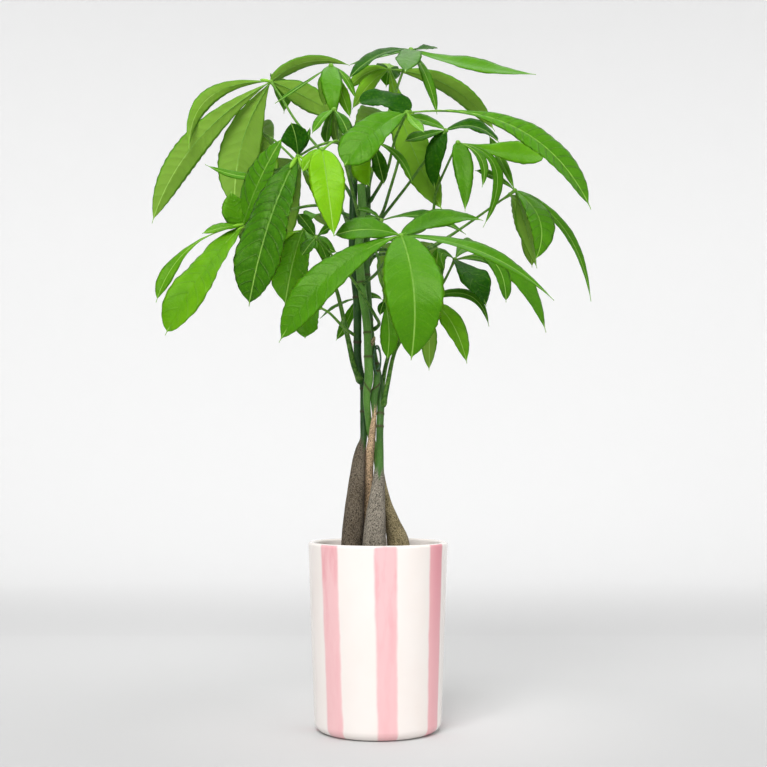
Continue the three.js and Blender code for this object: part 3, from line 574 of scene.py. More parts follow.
def blade_material(look):
    """The glossy leaf blade: darker or limier by its tone, with pale veins, painted shade in broken creases
    beside them and a paler underside; dark blades shine less."""
    material, tree, shader = new_material("leaf_blade")
    where = coordinates(tree)
    tone = attribute(tree, "tone")
    upper = attribute(tree, "upper")
    vein = attribute(tree, "vein")
    rib = attribute(tree, "rib")
    cloud = noise(tree, where, *BLADE_CLOUDS)
    fine = noise(tree, where, *BLADE_GRAIN)
    mottled = varied(tree, tone, cloud, 0.35)
    low = ease(tree, mottled, 0.0, 0.55)
    high = ease(tree, mottled, 0.5, 1.0)
    top = blend(tree, low, look.dark, look.middle)
    top = blend(tree, high, top, look.lime)
    under = blend(tree, low, look.under_dark, look.under)
    under = blend(tree, high, under, look.lime)
    skin = blend(tree, upper, under, top)
    wave = calc(tree, "ABSOLUTE", calc(tree, "SINE", calc(tree, "MULTIPLY", vein, math.pi)))
    press = attribute(tree, "press")
    # Painted shade: the creases beside the side veins are darkened, broken by noise and deeper for a stronger
    # press
    broken = ease(tree, noise(tree, where, *BLADE_BREAKS), 0.35, 0.6, 0.25, 1.0)
    depth = calc(tree, "POWER", press, CREASE_SHADE_POWER)
    crease_shade = calc(tree, "MULTIPLY", ease(tree, wave, 0.0, 0.55, look.crease_shade, 0.0), depth)
    crease_shade = calc(tree, "MULTIPLY", crease_shade, broken)
    skin = blend(tree, crease_shade, skin, look.dark)
    side_vein = calc(tree, "MULTIPLY", ease(tree, wave, 0.03, 0.2, look.vein_share, 0.0), press)
    skin = blend(tree, side_vein, skin, look.vein)
    mid_vein = ease(tree, rib, 0.2, 0.8, 0.7, 0.0)
    skin = blend(tree, mid_vein, skin, look.vein)
    skin = blend(tree, ease(tree, fine, 0.45, 0.75, 0.0, 0.12), skin, look.lime)
    gloss = calc(tree, "MULTIPLY_ADD", cloud, 0.14, look.roughness)
    gloss = calc(tree, "MULTIPLY_ADD", calc(tree, "SUBTRACT", 1.0, upper), 0.25, gloss)
    net = sockets(tree, "ShaderNodeTexVoronoi", {"Vector": where, "Scale": BLADE_CELLS},
                  feature="DISTANCE_TO_EDGE").outputs["Distance"]
    cells = bump(tree, ease(tree, net, 0.0, 0.12), *CELL_BUMP)
    swell = calc(tree, "MULTIPLY", calc(tree, "POWER", wave, 0.6), press)
    pillow = bump(tree, swell, *PILLOW_BUMP, cells)
    feed(tree, shader, {
        "Base Color": skin,
        "Roughness": gloss,
        "Normal": bump(tree, fine, *GRAIN_BUMP, pillow),
        "Specular IOR Level": calc(tree, "MULTIPLY", ease(tree, tone, 0.0, 0.4, 0.3, 1.0), look.specular),
        "Specular Tint": LEAF_TINT,
        "Subsurface Weight": look.glow,
        "Subsurface Radius": LEAF_SCATTER,
        "Subsurface Scale": LEAF_SCATTER_DEPTH,
    })
    return material


def stalk_material(look):
    """Smooth leaf stalks and midribs: yellow-green with fine lengthwise streaks."""
    material, tree, shader = new_material("leaf_stalk")
    where = coordinates(tree)
    tone = attribute(tree, "tone")
    streak = noise(tree, where, *STALK_STREAKS)
    base = blend(tree, ease(tree, tone, 0.0, 1.0), look.stalk_dark, look.stalk)
    base = blend(tree, ease(tree, streak, 0.35, 0.75, 0.0, 0.3), base, look.vein)
    base = blend(tree, ease(tree, tone, 1.0, 2.0), base, look.bud)
    feed(tree, shader, {
        "Base Color": base,
        "Normal": bump(tree, streak, *STALK_BUMP),
        "Roughness": 0.38,
        "Specular IOR Level": look.specular,
    })
    return material


def trunk_material(name, look, bark, painted_light):
    """Rough grey bark low down with painted shade in its deepest wrinkles, smooth green skin above painted
    from shaded to lit, dark ring scars.
    """
    material, tree, shader = new_material(name)
    where = coordinates(tree)
    woody = attribute(tree, "woody")
    ring = attribute(tree, "ring")
    dip = attribute(tree, "dip")
    streak = noise(tree, where, *BARK_STREAKS)
    grain = noise(tree, where, *BARK_GRAIN)
    patch = noise(tree, where, *BARK_PATCHES)
    speck = sockets(tree, "ShaderNodeTexVoronoi", {"Vector": where, "Scale": BARK_SPECKS}).outputs["Distance"]
    pale = tuple(min(1.0, BARK_PALE_GAIN * part + BARK_PALE_LIFT) for part in bark)
    dark_bark_and_shade = tuple(BARK_DEEP_GAIN * part for part in bark)
    wood = blend(tree, ease(tree, patch, 0.35, 0.65, 0.0, 0.45), bark, pale)
    wood = blend(tree, ease(tree, streak, 0.38, 0.56, 0.85, 0.0), wood, dark_bark_and_shade)
    wood = blend(tree, ease(tree, grain, 0.50, 0.60, 0.0, 0.7), wood, pale)
    wood = blend(tree, ease(tree, speck, 0.0, 0.25, 0.3, 0.0), wood, dark_bark_and_shade)
    # Painted shade in the deepest wrinkles; the same dark colour also marks the bark's real streaks and
    # specks
    wood = blend(tree, ease(tree, dip, 0.0, 0.7, 0.0, 0.9), wood, dark_bark_and_shade)
    # Painted light and shade: each stem's skin goes from the shaded to the lit green by its painted light,
    # with noise, and a lit stem gets more pale streaks
    lit = varied(tree, painted_light, patch, 0.9)
    skin = blend(tree, lit, look.green_dark, look.green)
    pale_share = 0.1 + 0.4 * painted_light
    skin = blend(tree, ease(tree, streak, 0.5, 0.72, 0.0, pale_share), skin, look.green_pale)
    skin = blend(tree, ring, skin, look.scar)
    height = calc(tree, "MULTIPLY_ADD", grain, 0.5, streak)
    deepness = calc(tree, "MULTIPLY_ADD", woody, 0.75, 0.2)
    height = calc(tree, "MULTIPLY", height, deepness)
    feed(tree, shader, {
        "Base Color": blend(tree, woody, skin, wood),
        "Roughness": calc(tree, "MULTIPLY_ADD", woody, 0.42, 0.42),
        "Normal": bump(tree, height, *BARK_BUMP),
        "Specular IOR Level": 0.25,
    })
    return material


def glaze_material(look):
    """Glossy cream glaze with soft hand-painted upright stripes, placed by the angle round the pot; deep
    pink where the paint is thick, and as painted shade on the stripes of the right side.
    """
    material, tree, shader = new_material("striped_glaze")
    where = coordinates(tree)
    outer = attribute(tree, "outer")
    parts = sockets(tree, "ShaderNodeSeparateXYZ", {"Vector": where}).outputs
    angle = calc(tree, "ARCTAN2", parts["X"], calc(tree, "MULTIPLY", parts["Y"], -1.0))
    pitch = 2 * math.pi / look.stripes
    wobble = noise(tree, where, *GLAZE_WOBBLE)
    ragged = noise(tree, where, *GLAZE_EDGE)
    from_first = calc(tree, "SUBTRACT", angle, look.stripe_start)
    from_first = calc(tree, "MULTIPLY_ADD", calc(tree, "SINE", from_first), look.stripe_drift, from_first)
    leaning = calc(tree, "MULTIPLY_ADD", parts["Z"], look.stripe_lean, -0.5 * look.height * look.stripe_lean)
    turned = calc(tree, "DIVIDE", calc(tree, "ADD", from_first, leaning), pitch)
    part = calc(tree, "FRACT", calc(tree, "ADD", turned, 0.5))
    off = calc(tree, "ABSOLUTE", calc(tree, "SUBTRACT", part, 0.5))
    off = varied(tree, varied(tree, off, wobble, 0.045), ragged, 0.035)
    half = 0.5 * look.stripe_share
    stripe = ease(tree, off, half - 0.03, half + 0.026, 1.0, 0.0)
    stripe = calc(tree, "MULTIPLY", stripe, ease(tree, outer, 0.35, 0.65))
    brush = noise(tree, where, *GLAZE_BRUSH)
    upward = ease(tree, parts["Z"], 0.3 * look.height, look.height)
    thick = calc(tree, "MULTIPLY_ADD", upward, 0.5, 0.15)
    thick = calc(tree, "MULTIPLY", ease(tree, brush, 0.4, 0.75), thick)
    # Painted shade: the stripes on the right side, away from the key light, also get the deep pink, most near
    # the top
    shaded_side = calc(tree, "MULTIPLY_ADD", upward, 0.45, 0.5)
    shaded_side = calc(tree, "MULTIPLY", ease(tree, angle, 0.6, 1.05), shaded_side)
    thick = calc(tree, "MAXIMUM", thick, shaded_side)
    paint = blend(tree, thick, look.pink, look.pink_deep)
    body = blend(tree, ease(tree, wobble, 0.3, 0.8, 0.0, 0.5), look.cream, look.cream_warm)
    speck = noise(tree, where, *GLAZE_SPECKS)
    body = blend(tree, ease(tree, speck, 0.72, 0.8, 0.0, 0.12), body, look.pink_deep)
    swell = calc(tree, "MULTIPLY_ADD", stripe, 0.25, wobble)
    feed(tree, shader, {
        "Base Color": blend(tree, stripe, body, paint),
        "Normal": bump(tree, swell, *GLAZE_BUMP),
        "Roughness": calc(tree, "MULTIPLY_ADD", ragged, 0.12, 0.12),
        "Coat Weight": 0.4,
        "Coat Roughness": 0.08,
    })
    return material


def soil_material():
    """Loose dark potting mix."""
    material, tree, shader = new_material("potting_mix")
    where = coordinates(tree)
    crumb = noise(tree, where, *SOIL_CRUMBS)
    chip = attribute(tree, "chip")
    base = blend(tree, ease(tree, crumb, 0.35, 0.7), CRUMB_DARK, CRUMB_PALE)
    base = blend(tree, chip, base, CHIP_PALE)
    feed(tree, shader, {"Base Color": base, "Normal": bump(tree, crumb, *SOIL_BUMP), "Roughness": 0.95})
    return material


def tie_material():
    """Dark green plastic coating on a wire."""
    material, tree, shader = new_material("coated_wire")
    scuff = noise(tree, coordinates(tree), *WIRE_SCUFFS)
    base = blend(tree, ease(tree, scuff, 0.4, 0.7), WIRE_DARK, WIRE_PALE)
    feed(tree, shader, {"Base Color": base, "Roughness": 0.35})
    return material


# The backdrop: its curve and height, the blur of the line, where the back reaches its upper colour, where the
# front colour ends, and the painted pool of light round the pot
CURVE = 0.9
WALL_HEIGHT = 3.6
LINE_BLUR = 0.006
WALL_BLEND = 1.0
FLOOR_NEAR = -0.3
POOL_MIDDLE = (0.04, 0.02, 0.0)
POOL_INNER = 0.02
POOL_OUTER = 0.34


def backdrop_material(look):
    """A matt pale floor, painted darker in front and with a painted pool of light round the pot, that meets a
    back along a straight line. The back is painted slightly darker there and lighter upwards, and glows
    with painted light that grows upwards."""
    material, tree, shader = new_material("backdrop")
    where = coordinates(tree)
    back = sockets(tree, "ShaderNodeSeparateXYZ", {"Vector": where}).outputs["Y"]
    beyond = ease(tree, back, look.line - LINE_BLUR, look.line + LINE_BLUR)
    # Painted shade just past the line and painted light higher up the back
    rise = ease(tree, back, look.line, look.line + WALL_BLEND)
    wall_tone = blend(tree, rise, look.low_wall, look.high_wall)
    # Painted shade on the floor in front
    further = ease(tree, back, FLOOR_NEAR, look.line)
    ground = blend(tree, further, look.near_floor, look.floor)
    # A painted pool of light on the floor round the pot
    away = sockets(tree, "ShaderNodeVectorMath", {0: where, 1: POOL_MIDDLE}, operation="DISTANCE")
    pool = ease(tree, away.outputs["Value"], POOL_INNER, POOL_OUTER, look.pool, 0.0)
    ground = blend(tree, pool, ground, WHITE)
    # The back glows with painted light, more higher up
    higher = ease(tree, back, look.line, look.flat + CURVE, look.glow_low, look.glow_high)
    feed(tree, shader, {
        "Base Color": blend(tree, beyond, ground, wall_tone),
        "Emission Color": opaque(WHITE),
        "Emission Strength": calc(tree, "MULTIPLY", beyond, higher),
        "Roughness": 0.9,
        "Specular IOR Level": 0.1,
    })
    return material


# Leaves

BODY_SHARE = 0.97
POINT_START = 0.8
POINT_SLOPE = 1.3
JOIN_POWER = 4


def outline(share, belly, fall):
    """Half width of a leaflet as a share of its greatest: a power rise and a power fall that meet at
    belly, joined through their fourth powers to a straight point over the last fifth."""
    body = np.clip(share / BODY_SHARE, 0, 1)
    rise = fall * belly / (1 - belly)
    peak = belly**rise * (1 - belly) ** fall
    swell = body**rise * (1 - body) ** fall / peak
    point = np.where(share > POINT_START, POINT_SLOPE * (1 - share), 0.0)
    return (swell**JOIN_POWER + point**JOIN_POWER) ** (1 / JOIN_POWER)


# How finely a leaflet is divided, where its first row lies and its least half width, and the width
# at which its puffs are full
FEWEST_VEINS = 6.0
ROWS_PER_VEIN = 6
ROWS_RANGE = (30, 110)
CELL_WIDTH = 0.0026
CELLS_RANGE = (7, 17)
FIRST_SHARE = 0.012
LEAST_HALF = 0.0003
WIDE_LEAFLET = 0.04

# Waves along a leaflet and the run of its side veins
EDGE_WAVES = 1.5
EDGE_POWER = 6
SWAY_WAVES = 1.4
SWAY_SLANT = 0.8
CRINKLE = 0.014
CRINKLE_WAVES = 5.3
VEIN_SLANT = 0.40
VEIN_CURL = 0.3
VEIN_DRIFT = 0.3
VEIN_DRIFT_WAVES = 1.9
VEIN_STAGGER = 0.4
PUFF_POWER = 0.75
PUFF_START = 0.2
PUFF_FALL = 4

# The groove over the midrib, and the midrib
GROOVE_HALF = 0.0009
GROOVE_DEPTH = 0.00035
GROOVE_FADE = 0.004
MIDRIB_SHARE = 0.9
MIDRIB_END = 0.12
MIDRIB_SIDES = 8
MIDRIB_TONE = 0.35
MIDRIB_LEAST = 0.35
MIDRIB_WIDEST = 1.3


def leaflet(knuckle, row, face, look, rng):
    """One leaflet as a closed thin blade, with its midrib as a fine tube on the underside.

    The midrib is the quadratic curve through the knuckle, its middle and its tip. Across it the blade
    runs to the outline on both sides, folded up from the midrib, with a slow wave along both edges
    that lifts one side where it lowers the other. Between the side veins, which leave the midrib at
    about 70 degrees and bend towards the tip, the blade puffs up by the press.
    """
    middle, tip = placed(row[0]), placed(row[1])
    width, turn = row[2] * MM, math.radians(row[3])
    tone, press = row[4:6]
    belly = row[6] if len(row) > 6 else look.belly
    fall = row[7] if len(row) > 7 else look.fall
    pull = 2 * middle - 0.5 * (knuckle + tip)
    length = np.linalg.norm(pull - knuckle) * 0.5 + np.linalg.norm(tip - pull) * 0.5
    length = 0.5 * (length + np.linalg.norm(tip - knuckle))
    veins = max(FEWEST_VEINS, round(length / look.vein_gap))
    rows = int(np.clip(veins * ROWS_PER_VEIN, *ROWS_RANGE))
    cells = int(np.clip(round(width / CELL_WIDTH), *CELLS_RANGE))
    share = np.linspace(FIRST_SHARE, 1, rows)
    t = share[:, None]
    centre = (1 - t) ** 2 * knuckle + 2 * t * (1 - t) * pull + t**2 * tip
    along = unit((1 - t) * (pull - knuckle) + t * (tip - pull))
    start = unit(pull - knuckle)
    flank = unit(np.cross(start, face))
    bend = unit(np.cross(start, unit(tip - pull)))
    level = np.cross(flank, start)
    tilt = math.atan2(level @ bend, level @ np.cross(bend, start)) + turn
    up = np.cross(bend, along) * math.cos(tilt) + bend * math.sin(tilt)
    side = np.cross(along, up)
    swell = outline(share, belly, fall)
    half = np.maximum(0.5 * width * swell, LEAST_HALF)
    across = np.concatenate([np.linspace(-1, 1, cells), np.linspace(1, -1, cells)[1:-1]])
    above = np.concatenate([np.ones(cells), -np.ones(cells - 2)])
    far = np.abs(across)[None, :]
    reach = half[:, None] * across[None, :]
    wave = look.wave * width * np.sin(2 * np.pi * EDGE_WAVES * share) * swell
    lift = far * (look.fold * half[:, None] + wave[:, None] * across[None, :])
    ripple = rng.uniform(0, 2 * np.pi, 4)
    sway = np.sin(2 * np.pi * SWAY_WAVES * share[:, None] + ripple[2] + SWAY_SLANT * across[None, :])
    lift = lift + look.sway * width * sway * across[None, :] ** 2 * swell[:, None]
    crinkle = 2 * np.pi * CRINKLE_WAVES * share[:, None] + ripple[0] + np.sign(across)[None, :] * ripple[1]
    lift = lift + CRINKLE * width * np.sin(crinkle) * far**2 * np.sin(np.pi * share)[:, None]
    out = np.abs(reach) / length
    drift = VEIN_DRIFT * np.sin(2 * np.pi * VEIN_DRIFT_WAVES * share[:, None] + ripple[3])
    drift = drift + VEIN_STAGGER * (across[None, :] > 0)
    phase = veins * (share[:, None] - VEIN_SLANT * out - VEIN_CURL * out * far**3) + drift
    reach = reach * (1 + look.scallop * np.cos(2 * np.pi * phase) * far**EDGE_POWER)
    puff = np.abs(np.sin(np.pi * phase)) ** PUFF_POWER
    shaped = np.clip(far / PUFF_START, 0, 1) * (1 - far**PUFF_FALL)
    shaped = shaped * np.sin(np.pi * share)[:, None] ** 0.5
    lift = lift + press * look.puff * width / WIDE_LEAFLET * puff * shaped
    groove = np.exp(-((reach / GROOVE_HALF) ** 2))
    lift = lift - GROOVE_DEPTH * groove * np.clip(half / GROOVE_FADE, 0, 1)[:, None]
    slender = MIDRIB_LEAST + (1 - MIDRIB_LEAST) * min(width / WIDE_LEAFLET, MIDRIB_WIDEST)
    thick = 0.5 * look.blade * (1 - far**EDGE_POWER) * above[None, :]
    rings = (centre[:, None] + reach[..., None] * side[:, None]
             + (lift + thick)[..., None] * up[:, None])
    uv = np.stack([np.broadcast_to(across[None, :] * 0.5 + 0.5, reach.shape),
                   np.broadcast_to(share[:, None], reach.shape)], -1)
    blade = shape_of(rings[:, ::-1], 0, uv[:, ::-1], tone=tone, upper=(above[None, ::-1] + 1) / 2,
                     vein=phase[:, ::-1], rib=np.abs(reach[:, ::-1]) / (MM * slender), press=press)
    last = int(rows * MIDRIB_SHARE)
    keel = centre[:last] - up[:last] * 0.5 * look.blade
    girth = np.linspace(1, MIDRIB_END, len(keel)) * MM * slender
    paler = MIDRIB_TONE + (1 - MIDRIB_TONE) * tone
    midrib = tube(keel, girth, MIDRIB_SIDES, bend, slot=1, tone=paler)
    return [blade, midrib]


BUD_STEPS = 15
BUD_END = 0.08
BUD_POWER = 0.6
ROUND_SIDES = 12


def bud(foot, tip, radius, **values):
    """A pointed bud: a round profile along the straight from foot to tip, its radius the sine of the
    share of the length to the power 0.6."""
    share = np.linspace(0, 1, BUD_STEPS)
    path = placed(foot) + share[:, None] * (placed(tip) - placed(foot))
    girth = radius * MM * (BUD_END + (1 - BUD_END) * np.sin(np.pi * share) ** BUD_POWER)
    return tube(path, girth, ROUND_SIDES, **values)


# The stalk: its swelling at the foot and the head, each as a share of its radius over a share of its
# length, its rounded foot, and its tones
STALK_STEPS = 70
FOOT_SWELL = 0.6
FOOT_SPAN = 0.05
HEAD_SWELL = 0.75
HEAD_SPAN = 0.035
FOOT_ROUND = 0.006
FOOT_START = 0.1
STALK_TONE = 0.4
STALK_FOOT_TONE = 0.2
BUD_TONE = 2.0

# The knuckle: half its length, its radius, its rings, and how much paler than the stalk it is
KNUCKLE_HALF = 0.0023
KNUCKLE_RADIUS = 0.0026
KNUCKLE_STEPS = 11
KNUCKLE_END = 0.02
KNUCKLE_PALER = 0.2


def leaf_shapes(name, look):
    """One palmate leaf. The stalk is a tube along its curve that swells by a bell curve at either end,
    the knuckle is an ellipsoid of rings, and the leaflets and buds join them."""
    stalk, facing, leaflets = LEAVES[name][:3]
    foot = LEAVES[name][3] * MM if len(LEAVES[name]) > 3 else look.stalk_foot
    rng = np.random.default_rng(sum(map(ord, name)))
    points = placed(stalk)
    knuckle = points[-1]
    path = spline(points, STALK_STEPS)
    share = np.linspace(0, 1, len(path))
    radius = foot + (look.stalk_head - foot) * share
    low = FOOT_SWELL * np.exp(-((share / FOOT_SPAN) ** 2))
    high = HEAD_SWELL * np.exp(-(((1 - share) / HEAD_SPAN) ** 2))
    radius = radius * (1 + (low + high))
    run = np.insert(np.cumsum(np.linalg.norm(np.diff(path, axis=0), axis=1)), 0, 0)
    radius = radius * np.clip(FOOT_START + run / FOOT_ROUND, 0, 1) ** 0.5
    tone = STALK_TONE + STALK_TONE * float(np.mean([row[4:6] for row in leaflets], axis=0)[0])
    greener = tone * (STALK_FOOT_TONE + (1 - STALK_FOOT_TONE) * share[:, None])
    shapes = [tube(path, radius, ROUND_SIDES, slot=1, tone=greener)]
    level = np.linspace(-1, 1, KNUCKLE_STEPS)[:, None] * KNUCKLE_HALF
    axis = unit(path[-1] - path[-4])
    bulge = 1 + KNUCKLE_END - (level[:, 0] / KNUCKLE_HALF) ** 2
    girth = KNUCKLE_RADIUS * np.sqrt(np.clip(bulge, KNUCKLE_END, 1))
    shapes.append(tube(knuckle + level * axis, girth, ROUND_SIDES, slot=1, tone=tone + KNUCKLE_PALER))
    for row in leaflets:
        shapes += leaflet(knuckle, row, unit(np.asarray(facing, float)), look, rng)
    return shapes + [bud(*row, slot=1, tone=BUD_TONE) for row in BUDS.get(name, ())]


# Trunks

TRUNK_STEPS = 420
TRUNK_SIDES = 56

# The bark's upper edge as [lobes round the trunk, height in millimetres], and its softness
BARK_EDGE = ((3, 4.0), (7, 2.5))
BARK_BLUR = 1.6
STEEPEST = 30

# Wrinkles by their number round the trunk, their fall with that number, how far they wander and over
# how many millimetres, their share of the relief, and how deep they have to be to get painted shade
FOLD_COUNTS = (5, 8, 13, 19)
FOLD_FALL = 0.55
FOLD_WANDER = 0.8
FOLD_PITCH = (9, 22)
FOLD_SHARE = 0.34
FOLD_SHADE_START = 0.9

# Lumps: their pitch and lean in millimetres, their twist and their share of the relief, and the radius
# from which the relief is full
LUMP_PITCH = 5.3
LUMP_LEAN = 11
LUMP_TWIST = 2
LUMP_SHARE = 0.3
FULL_RELIEF = 0.008

# Ring scars: half their height and their swelling in millimetres, and how dark they are
SCAR_HALF = 1.2
SCAR_SWELL = 0.45
SCAR_SHARE = 0.85


def trunk_shape(name, look):
    """A trunk as a round profile along its path: upright wrinkles that wander round the foot, with painted
    shade where they are deepest, and above them a smooth skin with a swelling at every ring scar."""
    rows = np.asarray(TRUNKS[name], float)
    points = np.column_stack([placed(rows[:, :3]), rows[:, 3] * MM])
    path = spline(points, TRUNK_STEPS)
    top, _, _, rings = TRUNK_LOOKS[name]
    rng = np.random.default_rng(len(name) * 7 + int(top))
    angle = np.linspace(0, 2 * np.pi, TRUNK_SIDES, endpoint=False)[None, :]
    height = path[:, 2:3] / MM
    jagged = sum(rise * np.sin(count * angle + rng.uniform(*WAVE_START)) for count, rise in BARK_EDGE)
    woody = 1 / (1 + np.exp(np.clip((height - top - jagged) / BARK_BLUR, -STEEPEST, STEEPEST)))
    folds = np.zeros((len(path), TRUNK_SIDES))
    for count in FOLD_COUNTS:
        drift = rng.uniform(0, 2 * np.pi)
        wander = height / rng.uniform(*FOLD_PITCH) + rng.uniform(*WAVE_START)
        drift = drift + FOLD_WANDER * np.sin(wander)
        folds = folds + np.sin(count * angle + drift) / count**FOLD_FALL
    lumps = np.sin(height / LUMP_PITCH + LUMP_TWIST * np.sin(2 * angle))
    lumps = lumps * np.sin(3 * angle + height / LUMP_LEAN)
    relief = look.relief * MM * woody * (FOLD_SHARE * folds + LUMP_SHARE * lumps)
    relief = relief * np.minimum(path[:, 3:4] / FULL_RELIEF, 1)
    ring = np.zeros_like(folds)
    for scar, slant in rings:
        off = height - scar - slant * (path[:, 3:4] / MM) * np.cos(angle)
        ring = ring + np.exp(-((off / SCAR_HALF) ** 2))
    relief = relief + SCAR_SWELL * MM * ring * (1 - woody)
    # Painted shade where the wrinkles are deepest
    dip = np.clip(-folds - FOLD_SHADE_START, 0, 1)
    return tube(path[:, :3], path[:, 3], TRUNK_SIDES, (1.0, 0.0, 0.0), relief,
                woody=woody, ring=np.clip(ring, 0, 1) * SCAR_SHARE, dip=dip)


# Pot, soil and wire

# The pot: its hub and sides, how oval and how lobed it is as a share of its radius, and the rows at
# the lip that the stripes leave bare
HUB = 0.0002
POT_SIDES = 160
OVAL = 0.0016
OVAL_TURN = 0.6
LOBES = 0.0008
LOBE_COUNT = 5
LOBE_TWIST = 40
UNPAINTED_ROWS = 4


def revolved(profile, sides, sway=0.0, **values):
    """A profile of [radius, height] turned round the upright axis; sway is added to the radius."""
    angle = np.linspace(0, 2 * np.pi, sides, endpoint=False)
    reach = profile[:, 0:1] * (1 + sway)
    height = np.broadcast_to(profile[:, 1:2], reach.shape if np.ndim(sway) else (len(profile), sides))
    reach = np.broadcast_to(reach, (len(profile), sides))
    return shape_of(np.stack([reach * np.cos(angle), reach * np.sin(angle), height], -1), **values)


def arc(centre, radius, start, stop, count):
    """Points on a circle's arc from start to stop in degrees."""
    angle = np.radians(np.linspace(start, stop, count))
    return np.asarray(centre) + radius * np.stack([np.cos(angle), np.sin(angle)], 1)


def wall(first, last, count):
    """Points on the straight between two points, without its ends."""
    return np.linspace(first, last, count + 2)[1:-1]


def pot_shape(look):
    """The pot: a foot with a rounded corner, a wall that widens upwards, a round lip, the inside and
    its floor, turned round the axis and slightly oval and lobed, as thrown by hand."""
    foot, corner, lip = look.foot_radius, look.corner, look.lip
    rim, height, thick, floor = look.rim_radius, look.height, look.wall, look.floor
    inside = rim - thick
    low = foot - thick
    outer = np.vstack([
        [[HUB, 0.0]],
        wall([0.0, 0.0], [foot - corner, 0.0], 6),
        arc([foot - corner, corner], corner, -90, 0, 14),
        wall([foot, corner], [rim, height - lip], 60),
        arc([rim - lip, height - lip], lip, 0, 90, 9),
    ])
    inner = np.vstack([
        arc([inside + lip, height - lip], lip, 90, 180, 9),
        wall([inside, height - lip], [low, floor + corner], 20),
        arc([low - corner, floor + corner], corner, 0, -90, 8),
        [[HUB, floor]],
    ])
    profile = np.vstack([outer, inner])
    painted = np.ones(len(outer) - UNPAINTED_ROWS)
    mark = np.concatenate([painted, np.zeros(len(inner) + UNPAINTED_ROWS)])
    angle = np.linspace(0, 2 * np.pi, POT_SIDES, endpoint=False)[None, :]
    sway = OVAL * np.sin(2 * angle + OVAL_TURN)
    sway = sway + LOBES * np.sin(LOBE_COUNT * angle + profile[:, 1:2] * LOBE_TWIST)
    return revolved(profile, POT_SIDES, sway, outer=mark[:, None])


# The heap: its clearance over the pot's floor, its rise in the middle, its crumbs, and its base, which
# is narrower and has fewer rings
SOIL_SEED = 5
SOIL_STEPS = 60
SOIL_SIDES = 180
SOIL_GAP = 0.0006
SOIL_HUB = 0.012
HEAP = 0.0026
CRUMB = 0.00032
CRUMB_WAVES = 26
CRUMB_PITCH = (0.004, 0.014)
BASE_SHARE = 0.86
BASE_SKIP = 6

# The chips: their number, how near the wall they lie, and their length and its shares for the other
# two sides, with the girth and the level of their three rings
CHIPS = 230
CHIP_SPREAD = 0.94
CHIP_LENGTH = (0.0011, 0.0028)
CHIP_WIDTH = (0.5, 0.9)
CHIP_THICKNESS = (0.4, 0.7)
CHIP_SIDES = 6
CHIP_GIRTH = (0.55, 1.0, 0.5)
CHIP_LEVEL = (-0.8, 0.0, 0.8)


def soil_shapes(look):
    """The potting mix: a low heap with crumbs as a sum of waves, and loose chips lying on it."""
    reach, low, top = look.soil_radius, look.floor + SOIL_GAP, look.soil_top
    radius = np.concatenate([[HUB], np.linspace(SOIL_HUB, reach, SOIL_STEPS)])
    angle = np.linspace(0, 2 * np.pi, SOIL_SIDES, endpoint=False)[None, :]
    x = radius[:, None] * np.cos(angle)
    y = radius[:, None] * np.sin(angle)
    rng = np.random.default_rng(SOIL_SEED)
    bumps = np.zeros_like(x)
    for _ in range(CRUMB_WAVES):
        way = rng.uniform(0, 2 * np.pi)
        pitch = rng.uniform(*CRUMB_PITCH)
        along = x * np.cos(way) + y * np.sin(way)
        bumps = bumps + np.sin(along * 2 * np.pi / pitch + rng.uniform(*WAVE_START))
    heap = HEAP * (1 - (radius[:, None] / reach) ** 2)
    surface = np.stack([x, y, top + heap + CRUMB * bumps], -1)
    inward = slice(None, None, -BASE_SKIP)
    base = np.stack([x[inward] * BASE_SHARE, y[inward] * BASE_SHARE, np.full_like(x[inward], low)], -1)
    shapes = [shape_of(np.concatenate([surface, base])[:, ::-1], chip=0.0)]
    corner = np.linspace(0, 2 * np.pi, CHIP_SIDES + 1)[:-1]
    ball = np.stack([np.cos(corner), np.sin(corner)], 1)
    girth = np.array(CHIP_GIRTH)[:, None]
    level = np.array(CHIP_LEVEL)[:, None]
    for _ in range(CHIPS):
        spot = reach * CHIP_SPREAD * math.sqrt(rng.uniform()) * unit(rng.normal(size=2))
        size = rng.uniform(*CHIP_LENGTH)
        size = size * np.array([1.0, rng.uniform(*CHIP_WIDTH), rng.uniform(*CHIP_THICKNESS)])
        rings = np.stack([
            girth * ball[None, :, 0] * size[0],
            girth * ball[None, :, 1] * size[1],
            np.broadcast_to(level * size[2], (len(CHIP_LEVEL), CHIP_SIDES))], -1)
        way = rng.uniform(0, np.pi)
        turn = np.array([
            [math.cos(way), -math.sin(way), 0],
            [math.sin(way), math.cos(way), 0],
            [0, 0, 1]])
        lie = top + HEAP * (1 - (np.linalg.norm(spot) / reach) ** 2) + SOIL_GAP
        shapes.append(shape_of(rings @ turn.T + np.array([*spot, lie]), chip=rng.uniform(0, 1)))
    return shapes


# The wire: turns, where they start, and in millimetres the reach to either side, the gap to the stub,
# the height of the middle over its end, the half height of the loops and its growth with each turn
TIE_TURNS = 2
TIE_STEPS = 220
TIE_START = 0.25
TIE_REACH = 3.4
TIE_GAP = 1.6
TIE_LIFT = 10
TIE_RISE = 10
TIE_GROWTH = 2.4
WIRE_RADIUS = 0.00095
WIRE_SIDES = 10


